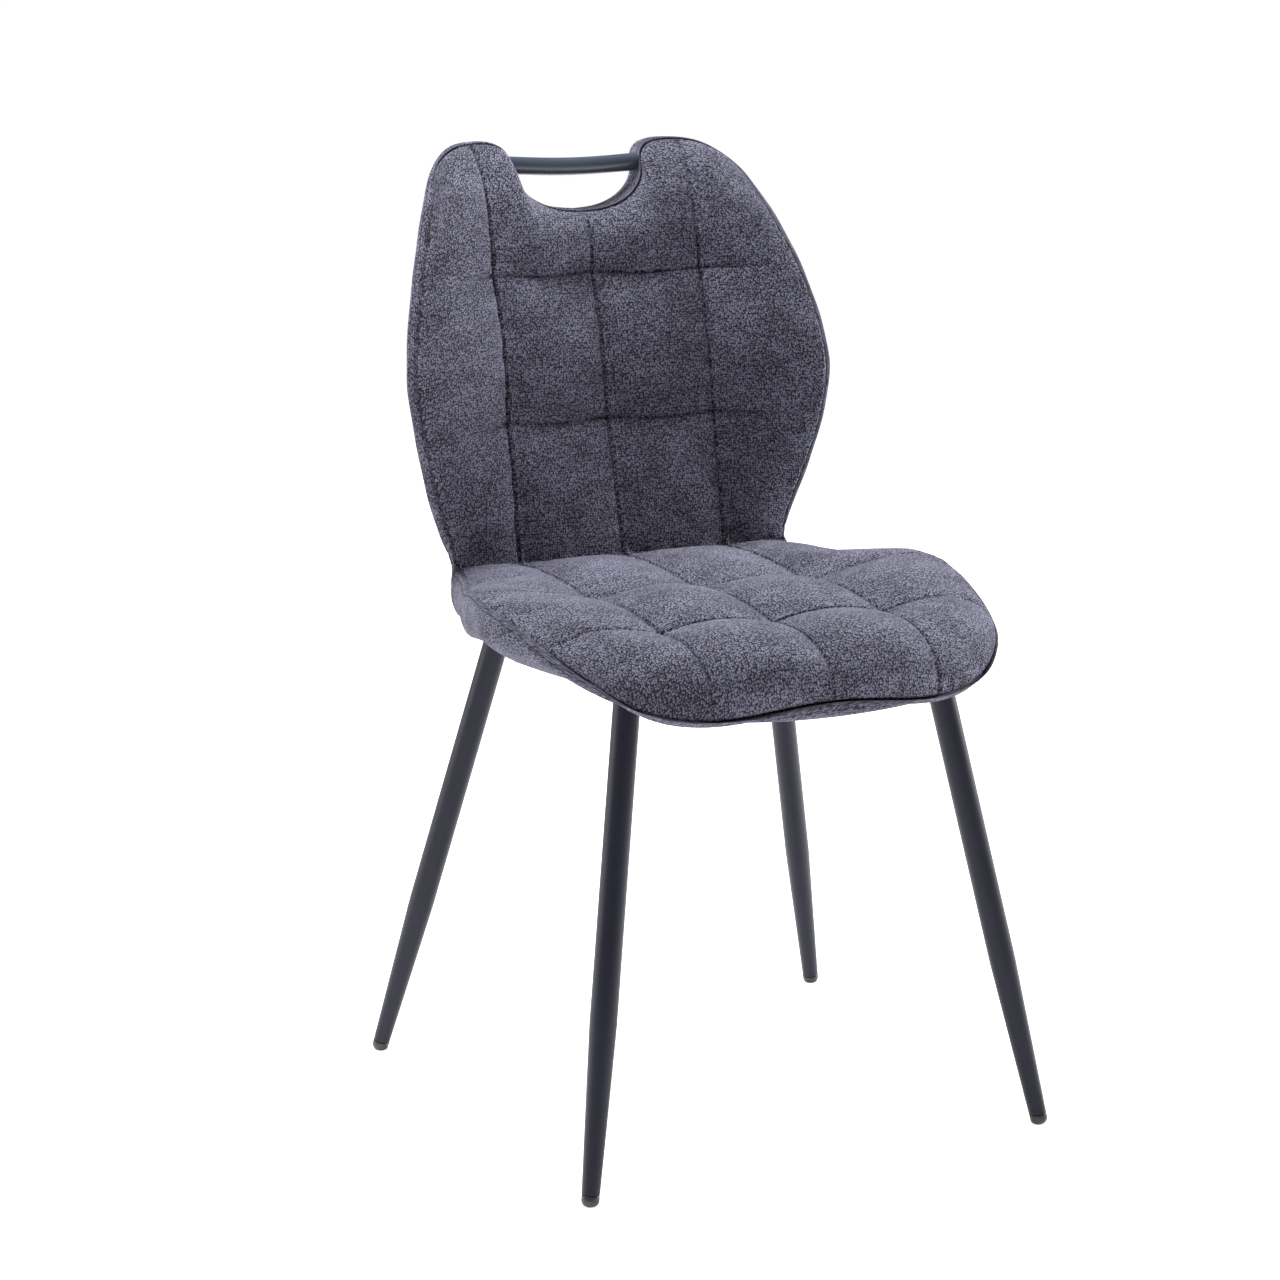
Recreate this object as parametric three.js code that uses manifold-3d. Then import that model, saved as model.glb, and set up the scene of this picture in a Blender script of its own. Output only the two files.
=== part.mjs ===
// Upholstered dining chair: a quilted seat and a winged, quilted back on moulded plywood,
// a steel hand rail across a notch in the top of the back, and four splayed tubular legs.
// Millimetres, +Z up, the chair faces -Y, and X = 0 is its plane of symmetry.

import * as THREE from 'three';
import { mergeVertices } from 'three/addons/utils/BufferGeometryUtils.js';
import Module from 'manifold-3d';

const wasm = await Module();
wasm.setup();

// ---------------------------------------------------------------- driving dimensions

const gap = 0.3;                    // clearance between pieces that touch

// seat
const seatHalfWidth = 243;          // at the widest place
const seatWidestY = -35;
const seatRearHalfWidth = 180;
const seatFrontY = -247;
const seatRearY = 180;              // where the seat meets the back
const seatFrontTaper = 0.175;       // how much the sides draw in towards the front
const seatTaperPower = 1.3;
const seatCornerPower = 7;          // how square the front corners are
const seatCornerRoundness = 0.476;  // and how round they end
const seatTopZ = 506;
const seatRollStartY = -120;        // the top starts to roll down here
const seatRollDrop = 64;
const seatRollPower = 2.6;
const seatRearDip = 8;              // the top falls by this to the rear,
const seatRearDipY = 140;           // from here
const seatRearDipLength = 40;       // over this much
const seatRaisedSideZ = 512;        // the side seams rise to this height
const seatRearSeamZ = 499;
const seatSeamTurnY = 7;            // the side seams are highest here
const seatSeamRearLength = 90;      // and fall to the rear over this much
const seatEdgeDrop = 80;            // fall of the edge seam from its highest place to the front
const seatEdgeDropPower = 1.7;
const seatCrownPower = 4;           // how late the top turns from its middle to its edge
const seatRimShare = 0.85;          // the underside starts to rise to the border here
const borderRearZ = 451;            // lower edge of the side border at the rear
const borderArch = 17;              // and how much it rises in the middle of the side,
const borderArchY = 100;            // starting here
const borderArchLength = 90;        // over this much
const borderFrontDrop = 46;         // and how much it falls towards the front,
const borderFrontDropY = -97;       // starting here
const borderFrontDropLength = 150;
const borderFrontDropPower = 1.8;
const seatBoardZ = 452;             // flat underside of the seat board
const seatBoardThickness = 12;
const seatBoardSideInset = 30;
const seatBoardRearInset = 8;
const seatBoardFrontInset = 14;
const seatBoardLip = 26;            // drop of the moulded front lip
const seatBoardLipLength = 47;
const seatBoardRearGap = 4;         // between the board and the rear end of the seat

// back
const backBottomZ = 452;
const backTopZ = 903;
const backCornerZ = 500;            // the rounded rear corner starts here
const backCornerHeight = 50;
const backWidestZ = 680;
const backHalfWidth = 223.4;        // to the front seam, at the widest place
const backLowNarrowing = 48.8;      // narrowing of the half width down to backCornerZ
const backLowPower = 1.6;
const backHighNarrowing = 51.3;     // and up to the shoulders
const backHighPower = 1.7;
const backBorderBulge = 5;          // the border stands outside the front seam by this
const backRecline = 0.27;           // rear face: mm back for each mm up
const backRearY = 221;              // rear face on the centre line at backCornerZ
const backFrontY = 181.5;           // front face on the centre line at backCornerZ
const backFrontRecline = 0.25;
const backCurlLength = 143;         // the front face curls further back over this much
const backCurl = 14.3;              // by this at the top
const wingDepth = 57;               // how far the wings come forward of the middle
const wingStartZ = 500;
const wingFullZ = 700;
const wingFade = 38;                // loss of that depth at the top
const wingRisePower = 1.5;          // how late the wings come forward, going up
const wingPower = 2.2;              // and going outwards
const wingReach = 1.15;             // the wings' curve goes on past the seam to this share
const rearPower = 3;                // how late the rear face turns forward, going outwards
const backEdgeThickness = 14;
const shoulderDrop = 43;            // the sides turn into the rounded shoulders this far down
const crownShift = 18;              // the crown's highest place lies inward of its middle by this
const notchHalfWidth = 71;
const notchDepth = 69;
const notchCornerDrop = 23;
const backBoardThickness = 8;
const backBoardInset = 12;
const backBoardBottomZ = 468;
const backBoardTuckIn = 20;         // extra inset at the lower end of the board,
const backBoardTuckZ = 600;         // starting here
const backBoardTuckLength = 80;
const rearPanelThickness = 8;

// hand rail
const railDiameter = 18;
const railSetIn = 16.4;             // its axis lies this far inside the back's rear face
const railDrop = 24;                // and this far below the top of the back
const railSag = 3;
const railRoundPast = 1;            // the tube is round this far past the notch's sides
const railBladeStart = 15;          // its pressed ends start and end this far past them
const railBladeEnd = 46;
const railBladeHeight = 25;
const railBladeThickness = 3.2;
const railBladeDrop = 4;            // the pressed ends lie lower than the axis by this
const railScrewInset = [8, 23];     // from the start of each pressed end

// legs
const legDiameter = 25;
const legWall = 1.5;
const legFootDiameter = 16;
const legTaperHeight = 157;         // the taper ends this high above the floor
const frontFoot = new THREE.Vector2(236.1, -236.4);
const rearFoot = new THREE.Vector2(250.0, 236.4);
const frontKnee = new THREE.Vector2(160.7, -156.0);   // axis of the leg at kneeZ
const rearKnee = new THREE.Vector2(152.5, 152.2);
const kneeZ = 430;
const legSides = 16;
const glideRimHeight = 10;
const glideRimOverhang = 0.3;       // the rim stands outside the foot of the tube
const glideStemSlack = 0.5;         // between the stem and the inside of the tube
const glideStemLength = 16;
const plateSize = 64;
const plateThickness = 4;
const plateInward = 10;             // the plate's centre lies inward of the leg's axis
const plateBoltSpread = 22;
const plateCornerRadius = 8;
const plateHoleSlack = 0.5;

// brackets, fasteners and lining
const bracketX = 75;
const bracketWidth = 30;
const bracketThickness = 5;
const bracketBendRadius = 9;
const bracketFrontY = 60;
const bracketTopZ = 600;
const bracketStandOff = 1.2;         // clearance to the curved board
const bracketSeatBoltY = [85, 140];
const bracketBackBoltZ = [525, 575];
const liningThickness = 0.8;
const liningInset = 9;
const liningFrontGap = 14;          // between the lining and the board's front lip
const boltDiameter = 6;
const boltHeadDiameter = 12;
const boltHeadHeight = 3.4;
const boltTipCover = 2.2;           // board left over the tip of a bolt
const screwDiameter = 4.2;
const screwHeadDiameter = 8.4;
const screwHeadHeight = 2.2;
const screwTipCover = 2;
const nutFlangeDiameter = 18;
const nutFlangeThickness = 1.4;
const nutBarrelDiameter = 9.6;
const nutLength = 9.5;
const fastenerSides = 8;

// heights and depths well outside the seat and the back, for trimming prisms
const trimLowZ = 380;
const trimHighZ = 560;
const trimNearY = 100;
const trimFarY = 400;

// heights that follow from those above
const liningTopZ = seatBoardZ - gap;
const plateTopZ = liningTopZ - liningThickness - gap;
const plateBottomZ = plateTopZ - plateThickness;
const legTopZ = plateBottomZ - gap;
const nutTopZ = seatBoardZ + seatBoardThickness - gap;
const boltTipZ = seatBoardZ + seatBoardThickness - boltTipCover;
const shoulderZ = backTopZ - shoulderDrop;
const notchBottomZ = backTopZ - notchDepth;
const notchCornerZ = backTopZ - notchCornerDrop;
const backCurlZ = backTopZ - backCurlLength;

// ---------------------------------------------------------------- materials

function finish(color, roughness, metalness) {
  return new THREE.MeshStandardMaterial({ color, roughness, metalness });
}

const cover = () => finish(0x4a4a54, 0.95, 0);
const plywood = () => finish(0xb98f5f, 0.7, 0);
const blackPowderCoat = () => finish(0x2c2c33, 0.5, 0.3);
const railPaint = () => finish(0x3a3f4a, 0.35, 0.5);
const blackPlastic = () => finish(0x17171a, 0.6, 0);
const zinc = () => finish(0xb9bcc0, 0.4, 0.9);
const liningCloth = () => finish(0x1c1c1e, 1, 0);

// ---------------------------------------------------------------- small helpers

const clamp = THREE.MathUtils.clamp;
const lerp = THREE.MathUtils.lerp;
const ease = (t) => THREE.MathUtils.smoothstep(t, 0, 1);

const chair = new THREE.Group();

function add(name, geometry, material) {
  const mesh = new THREE.Mesh(geometry, material);
  mesh.name = name;
  chair.add(mesh);
  return mesh;
}

// A closed geometry as a solid that can be cut.
function solid(geometry) {
  const bare = geometry.clone();
  bare.deleteAttribute('normal');
  bare.deleteAttribute('uv');
  const merged = mergeVertices(bare, 1e-4);
  return new wasm.Manifold(new wasm.Mesh({
    numProp: 3,
    vertProperties: new Float32Array(merged.attributes.position.array),
    triVerts: new Uint32Array(merged.index.array),
  }));
}

function geometryOf(body) {
  const mesh = body.getMesh();
  const geometry = new THREE.BufferGeometry();
  geometry.setAttribute('position', new THREE.BufferAttribute(mesh.vertProperties, 3));
  geometry.setIndex(new THREE.BufferAttribute(mesh.triVerts, 1));
  geometry.computeVertexNormals();
  return geometry;
}

const cutAway = (body, tools) => tools.reduce((rest, tool) => rest.subtract(tool), body);

// A closed solid between two sheets over one rectangle of parameters u, v in 0..1.
function slab(nearSheet, farSheet, uSteps, vSteps) {
  const positions = [];
  const index = [];
  const row = vSteps + 1;
  const count = (uSteps + 1) * row;
  for (const sheet of [nearSheet, farSheet]) {
    for (let i = 0; i <= uSteps; i += 1) {
      for (let j = 0; j <= vSteps; j += 1) {
        positions.push(...sheet(i / uSteps, j / vSteps));
      }
    }
  }
  const quad = (a, b, c, d) => index.push(a, b, c, a, c, d);
  for (let i = 0; i < uSteps; i += 1) {
    for (let j = 0; j < vSteps; j += 1) {
      const a = i * row + j;
      quad(a, a + row, a + row + 1, a + 1);
      quad(count + a, count + a + 1, count + a + row + 1, count + a + row);
    }
  }
  for (let i = 0; i < uSteps; i += 1) {
    const low = i * row;
    const high = i * row + vSteps;
    quad(low, count + low, count + low + row, low + row);
    quad(high, high + row, count + high + row, count + high);
  }
  for (let j = 0; j < vSteps; j += 1) {
    const first = j;
    const last = uSteps * row + j;
    quad(first, first + 1, count + first + 1, count + first);
    quad(last, count + last, count + last + 1, last + 1);
  }
  const geometry = new THREE.BufferGeometry();
  geometry.setAttribute('position', new THREE.Float32BufferAttribute(positions, 3));
  geometry.setIndex(index);
  return geometry;
}

// A block, used for trimming.
function block(low, high) {
  const box = new THREE.BoxGeometry(high[0] - low[0], high[1] - low[1], high[2] - low[2]);
  box.translate((low[0] + high[0]) / 2, (low[1] + high[1]) / 2, (low[2] + high[2]) / 2);
  return solid(box);
}

// An upright prism over a plan outline.
function uprightPrism(outline, low, high) {
  const prism = new THREE.ExtrudeGeometry(new THREE.Shape(outline), {
    depth: high - low,
    bevelEnabled: false,
  });
  prism.translate(0, 0, low);
  return solid(prism);
}

// A prism along Y over an outline drawn in X and Z.
function levelPrism(outline, near, far) {
  const prism = new THREE.ExtrudeGeometry(new THREE.Shape(outline), {
    depth: far - near,
    bevelEnabled: false,
  });
  prism.rotateX(Math.PI / 2);
  prism.translate(0, far, 0);
  return solid(prism);
}

const mirrored = (half) => [
  ...half,
  ...half.slice(1, -1).reverse().map((p) => new THREE.Vector2(-p.x, p.y)),
];

// A round solid from its profile of [radius, height] pairs, standing along +Z.
function turned(profile, sides) {
  const lathe = new THREE.LatheGeometry(profile.map(([r, h]) => new THREE.Vector2(r, h)), sides);
  lathe.rotateX(Math.PI / 2);
  return lathe;
}

const upAxis = new THREE.Vector3(0, 0, 1);

function pointed(geometry, place, direction) {
  const turn = new THREE.Quaternion().setFromUnitVectors(upAxis, direction.clone().normalize());
  const moved = geometry.clone();
  moved.applyQuaternion(turn);
  moved.translate(place.x, place.y, place.z);
  return moved;
}

// ---------------------------------------------------------------- seat surfaces

// Half the width of the seat at y: eases in towards the rear, and towards the front it
// tapers and then turns in like a superellipse.
function seatSide(y, halfWidth, rearHalfWidth, frontY) {
  if (y > seatWidestY) {
    const t = clamp((y - seatWidestY) / (seatRearY - seatWidestY), 0, 1);
    return lerp(halfWidth, rearHalfWidth, ease(t));
  }
  const t = clamp((seatWidestY - y) / (seatWidestY - frontY), 0, 1);
  const taper = 1 - seatFrontTaper * t ** seatTaperPower;
  return halfWidth * taper * (1 - t ** seatCornerPower) ** seatCornerRoundness;
}

function seatOutline(sideInset, rearInset, frontInset, rearY) {
  const frontY = seatFrontY + frontInset;
  const half = [new THREE.Vector2(0, rearY)];
  const rearSteps = 5;
  const frontSteps = 10;
  for (let i = 0; i <= rearSteps; i += 1) {
    const y = lerp(rearY, seatWidestY, i / rearSteps);
    half.push(new THREE.Vector2(
      seatSide(y, seatHalfWidth - sideInset, seatRearHalfWidth - rearInset, frontY), y));
  }
  for (let i = 1; i <= frontSteps; i += 1) {
    const y = lerp(seatWidestY, frontY, Math.sin((Math.PI / 2) * (i / frontSteps)));
    half.push(new THREE.Vector2(
      seatSide(y, seatHalfWidth - sideInset, seatRearHalfWidth - rearInset, frontY), y));
  }
  half[half.length - 1].x = 0;
  return mirrored(half);
}

// How far across the seat a place is: 0 on its middle line, 1 on its side.
function shareAcross(x, y) {
  const pastFront = 8;
  const narrowest = 60;
  const side = seatSide(y, seatHalfWidth, seatRearHalfWidth, seatFrontY - pastFront);
  return Math.min(Math.abs(x) / Math.max(side, narrowest), 1);
}

// Height of the top: level, rolling down at the front, with an edge of its own height.
function seatTop(x, y) {
  const roll = Math.max(seatRollStartY - y, 0) / (seatRollStartY - seatFrontY);
  const middle = seatTopZ - seatRollDrop * Math.min(roll, 1) ** seatRollPower
    - seatRearDip * ease((y - seatRearDipY) / seatRearDipLength);
  const fall = Math.max(seatSeamTurnY - y, 0) / (seatSeamTurnY - seatFrontY);
  const rear = (seatRaisedSideZ - seatRearSeamZ) * ease((y - seatSeamTurnY) / seatSeamRearLength);
  const edge = seatRaisedSideZ - rear - seatEdgeDrop * Math.min(fall, 1) ** seatEdgeDropPower;
  return lerp(middle, edge, shareAcross(x, y) ** seatCrownPower);
}

// Height of the underside: the board's level in the middle, the border's edge at the sides.
function seatUnderside(x, y) {
  const fall = Math.max(borderFrontDropY - y, 0) / borderFrontDropLength;
  const border = borderRearZ + borderArch * ease((borderArchY - y) / borderArchLength)
    - borderFrontDrop * Math.min(fall, 1) ** borderFrontDropPower;
  const middle = Math.min(seatBoardUnderside(y), border);
  return lerp(middle, border, ease((shareAcross(x, y) - seatRimShare) / (1 - seatRimShare)));
}

function seatBoardUnderside(y) {
  const lipStart = seatFrontY + seatBoardFrontInset + seatBoardLipLength;
  const t = clamp((lipStart - y) / seatBoardLipLength, 0, 1);
  return seatBoardZ - seatBoardLip * t * t;
}

// A solid over the whole seat between two height functions.
function seatLayer(top, bottom) {
  const pastSide = 12;
  const pastFront = 6;
  const pastRear = 20;
  const steps = 12;
  const rowPower = 1.3;               // rows lie closer together at the rolled front
  const reach = seatHalfWidth + pastSide;
  const place = (u, v) => [
    lerp(-reach, reach, u), lerp(seatFrontY - pastFront, seatRearY + pastRear, v ** rowPower)];
  const sheet = (height) => (u, v) => {
    const [x, y] = place(u, v);
    return [x, y, height(x, y)];
  };
  return solid(slab(sheet(top), sheet(bottom), steps, steps));
}

// ---------------------------------------------------------------- back surfaces

// Half the width of the back at height z, to its front seam.
function backSide(z) {
  if (z < backWidestZ) {
    const down = (backWidestZ - z) / (backWidestZ - backCornerZ);
    return Math.max(backHalfWidth - backLowNarrowing * down ** backLowPower, seatRearHalfWidth);
  }
  const up = (z - backWidestZ) / (shoulderZ - backWidestZ);
  return Math.max(backHalfWidth - backHighNarrowing * up ** backHighPower, notchHalfWidth);
}

// How far the wings come forward at height z.
function wing(z) {
  if (z < wingFullZ) {
    const t = clamp((z - wingStartZ) / (wingFullZ - wingStartZ), 0, 1);
    return wingDepth * Math.sin((Math.PI / 2) * t) ** wingRisePower;
  }
  return wingDepth - wingFade * ((z - wingFullZ) / (backTopZ - wingFullZ)) ** 2;
}

const backFrontMiddle = (z) => backFrontY + backFrontRecline * (z - backCornerZ)
  + backCurl * (Math.max(z - backCurlZ, 0) / backCurlLength) ** 2;

function backFront(x, z) {
  const height = Math.max(z, backCornerZ);
  const share = Math.abs(x) / backSide(height);
  return backFrontMiddle(height) - wing(height) * Math.min(share, wingReach) ** wingPower;
}

function backRear(x, z) {
  const height = Math.max(z, backCornerZ);
  const middle = backRearY + backRecline * (height - backCornerZ);
  const edge = backFrontMiddle(height) - wing(height) + backEdgeThickness;
  const share = Math.abs(x) / (backSide(height) + backBorderBulge);
  const y = middle - (middle - edge) * Math.min(share, wingReach) ** rearPower;
  const below = clamp((backCornerZ - z) / backCornerHeight, 0, 0.99);
  return lerp(seatRearY + gap, y, Math.sqrt(1 - below * below));
}

// The outline of the back in X and Z, drawn in by an inset. Its sides follow backSide, its
// shoulders and its notch are single curves.
function backOutline(inset, bottomZ, tuckIn) {
  const half = [];
  const side = (z) => backSide(z) + backBorderBulge - inset
    - tuckIn * ease((backBoardTuckZ - z) / backBoardTuckLength);
  const sideSteps = 9;
  const stretch = (points) => half.push(...points.slice(1));
  const top = backTopZ - inset;
  const inner = notchHalfWidth + inset;
  const shoulder = new THREE.Vector2(side(shoulderZ), shoulderZ - inset / 2);
  const crown = new THREE.Vector2((inner + shoulder.x) / 2 - crownShift, top);
  const corner = new THREE.Vector2(inner, notchCornerZ - inset);
  const notch = new THREE.Vector2(0, notchBottomZ - inset);

  half.push(new THREE.Vector2(0, bottomZ));
  for (let i = 0; i <= sideSteps; i += 1) {
    const z = lerp(bottomZ, shoulder.y, i / sideSteps);
    half.push(new THREE.Vector2(side(z), z));
  }
  stretch(new THREE.CubicBezierCurve(
    shoulder,
    new THREE.Vector2(shoulder.x - 13, shoulder.y + 28),
    new THREE.Vector2(crown.x + 35, top),
    crown).getPoints(4));
  stretch(new THREE.CubicBezierCurve(
    crown,
    new THREE.Vector2(lerp(crown.x, inner, 0.65), top),
    new THREE.Vector2(inner, corner.y + 17),
    corner).getPoints(4));
  stretch(new THREE.CubicBezierCurve(
    corner,
    new THREE.Vector2(inner, corner.y - 30),
    new THREE.Vector2(inner * 0.56, notch.y),
    notch).getPoints(5));
  return mirrored(half);
}

// A solid over the whole back between two depth functions.
function backLayer(near, far) {
  const pastSide = 14;
  const pastBottom = 1.5;
  const pastTop = 5;
  const columns = 12;
  const rows = 15;
  const cornerRows = 4;
  const reach = backHalfWidth + pastSide;
  const height = (v) => {
    const row = v * rows;
    return row < cornerRows
      ? lerp(backBottomZ - pastBottom, backCornerZ, row / cornerRows)
      : lerp(backCornerZ, backTopZ + pastTop, (row - cornerRows) / (rows - cornerRows));
  };
  const sheet = (depth) => (u, v) => {
    const x = lerp(-reach, reach, u);
    const z = height(v);
    return [x, depth(x, z), z];
  };
  return solid(slab(sheet(near), sheet(far), columns, rows));
}

// ---------------------------------------------------------------- fasteners

// A round-headed fastener: the underside of its head at 0, its shank along +Z.
function fastener(diameter, length, headDiameter, headHeight, spare = 0) {
  const shank = diameter / 2 + spare;
  const head = headDiameter / 2 + spare;
  const tall = headHeight + spare;
  return turned([
    [0, -tall],
    [head * 0.75, -tall],
    [head, -tall * 0.3],
    [head, spare],
    [shank, spare],
    [shank, length + spare],
    [0, length + spare],
  ], fastenerSides);
}

// What is cut out of each large piece to clear the fasteners and fittings that pass it.
const cuts = {
  seatPad: [], seatBoard: [], lining: [], backPad: [], backBoard: [], backPanel: [],
};

function placeFastener(name, place, direction, size, passes) {
  add(name, pointed(fastener(...size), place, direction), zinc());
  const clearance = solid(pointed(fastener(...size, gap), place, direction));
  passes.forEach((piece) => cuts[piece].push(clearance));
  return clearance;
}

// ---------------------------------------------------------------- legs

const sides = [['left', -1], ['right', 1]];
const ends = [['front', frontFoot, frontKnee], ['rear', rearFoot, rearKnee]];

function legProfile(length) {
  const outer = legDiameter / 2;
  const foot = legFootDiameter / 2;
  return [
    [foot - legWall, 0],
    [foot, 0],
    [outer, legTaperHeight - glideRimHeight],
    [outer, length],
    [outer - legWall, length],
    [outer - legWall, legTaperHeight - glideRimHeight],
    [foot - legWall, 0],
  ];
}

const glideRim = legFootDiameter / 2 + glideRimOverhang;
const glideStem = legFootDiameter / 2 - legWall - glideStemSlack;
const glideProfile = [
  [0, -1.4],
  [3.2, -0.9],
  [glideRim - 2.6, 1.4],
  [glideRim, 5.5],
  [glideRim, glideRimHeight - gap],
  [glideStem, glideRimHeight - gap],
  [glideStem, glideRimHeight + glideStemLength],
  [0, glideRimHeight + glideStemLength],
];

// The leg's mounting plate: a square with rounded corners, three bolt holes, and the leg
// under its fourth, outer corner.
function plateOutline() {
  const h = plateSize / 2;
  const r = plateCornerRadius;
  const shape = new THREE.Shape();
  shape.moveTo(-h + r, -h);
  shape.lineTo(h - r, -h);
  shape.absarc(h - r, -h + r, r, -Math.PI / 2, 0);
  shape.lineTo(h, h - r);
  shape.absarc(h - r, h - r, r, 0, Math.PI / 2);
  shape.lineTo(-h + r, h);
  shape.absarc(-h + r, h - r, r, Math.PI / 2, Math.PI);
  shape.lineTo(-h, -h + r);
  shape.absarc(-h + r, -h + r, r, Math.PI, Math.PI * 1.5);
  return shape;
}

function makeLegs() {
  const far = 600;                    // well past the whole chair
  const floorCut = block([-far, -far, -far], [far, far, 0]);
  const plateCut = block([-far, -far, legTopZ], [far, far, legTopZ + far]);
  for (const [endName, foot, knee] of ends) {
    for (const [sideName, sign] of sides) {
      const label = `${endName}_${sideName}`;
      const base = new THREE.Vector3(sign * foot.x, foot.y, 0);
      const axis = new THREE.Vector3(sign * knee.x, knee.y, kneeZ).sub(base).normalize();
      const length = legTopZ / axis.z + legDiameter - glideRimHeight;
      const start = base.clone().addScaledVector(axis, glideRimHeight);
      const tube = solid(pointed(turned(legProfile(length), legSides), start, axis));
      add(`leg_${label}`, geometryOf(tube.subtract(plateCut)), blackPowderCoat());
      const glide = solid(pointed(turned(glideProfile, legSides), base, axis));
      add(`glide_${label}`, geometryOf(glide.subtract(floorCut)), blackPlastic());

      const top = base.clone().addScaledVector(axis, legTopZ / axis.z);
      const outward = Math.sign(foot.y);
      const centre = new THREE.Vector3(
        top.x - sign * plateInward, top.y - outward * plateInward, plateBottomZ);
      const shape = plateOutline();
      const spots = [[-1, 1], [1, -1], [-1, -1]].map(([u, v]) => new THREE.Vector2(
        u * sign * plateBoltSpread, v * outward * plateBoltSpread));
      for (const spot of spots) {
        const hole = new THREE.Path();
        hole.absarc(spot.x, spot.y, boltDiameter / 2 + plateHoleSlack, 0, Math.PI * 2, true);
        shape.holes.push(hole);
      }
      const plate = new THREE.ExtrudeGeometry(shape, {
        depth: plateThickness,
        bevelEnabled: false,
        curveSegments: 4,
      });
      add(`leg_plate_${label}`, plate, blackPowderCoat()).position.copy(centre);

      spots.forEach((spot, i) => {
        const place = new THREE.Vector3(centre.x + spot.x, centre.y + spot.y, plateBottomZ - gap);
        placeFastener(`leg_bolt_${label}_${i + 1}`, place, upAxis,
          [boltDiameter, boltTipZ - place.z, boltHeadDiameter, boltHeadHeight],
          ['lining', 'seatBoard']);
        makeThreadInsert(`threaded_insert_${label}_${i + 1}`, place);
      });
    }
  }
}

// A flanged threaded insert, let into the top of the seat board over a leg bolt.
function makeThreadInsert(name, boltPlace) {
  const insertProfile = (spare) => [
    [nutFlangeDiameter / 2 + spare, nutTopZ + spare],
    [nutFlangeDiameter / 2 + spare, nutTopZ - nutFlangeThickness - spare],
    [nutBarrelDiameter / 2 + spare, nutTopZ - nutFlangeThickness - spare],
    [nutBarrelDiameter / 2 + spare, nutTopZ - nutLength - spare],
  ];
  const bore = boltDiameter / 2 + gap;
  const ring = [
    [bore, nutTopZ],
    [bore, nutTopZ - nutLength],
    ...insertProfile(0).reverse(),
    [bore, nutTopZ],
  ];
  const pocket = [
    [0, nutTopZ - nutLength - gap],
    ...insertProfile(gap).reverse(),
    [0, nutTopZ + gap],
  ];
  const place = new THREE.Vector3(boltPlace.x, boltPlace.y, 0);
  add(name, pointed(turned(ring, fastenerSides), place, upAxis), zinc());
  cuts.seatBoard.push(solid(pointed(turned(pocket, fastenerSides), place, upAxis)));
}

// ---------------------------------------------------------------- brackets

// A flat bar bent along a path in Y and Z: the path's points, offset to both sides.
function barOutline(path, thickness) {
  const offset = (distance) => path.map((point, i) => {
    const before = path[Math.max(i - 1, 0)];
    const after = path[Math.min(i + 1, path.length - 1)];
    const along = after.clone().sub(before).normalize();
    return new THREE.Vector2(point.x - along.y * distance, point.y + along.x * distance);
  });
  return [...offset(-thickness / 2), ...offset(thickness / 2).reverse()];
}

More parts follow.
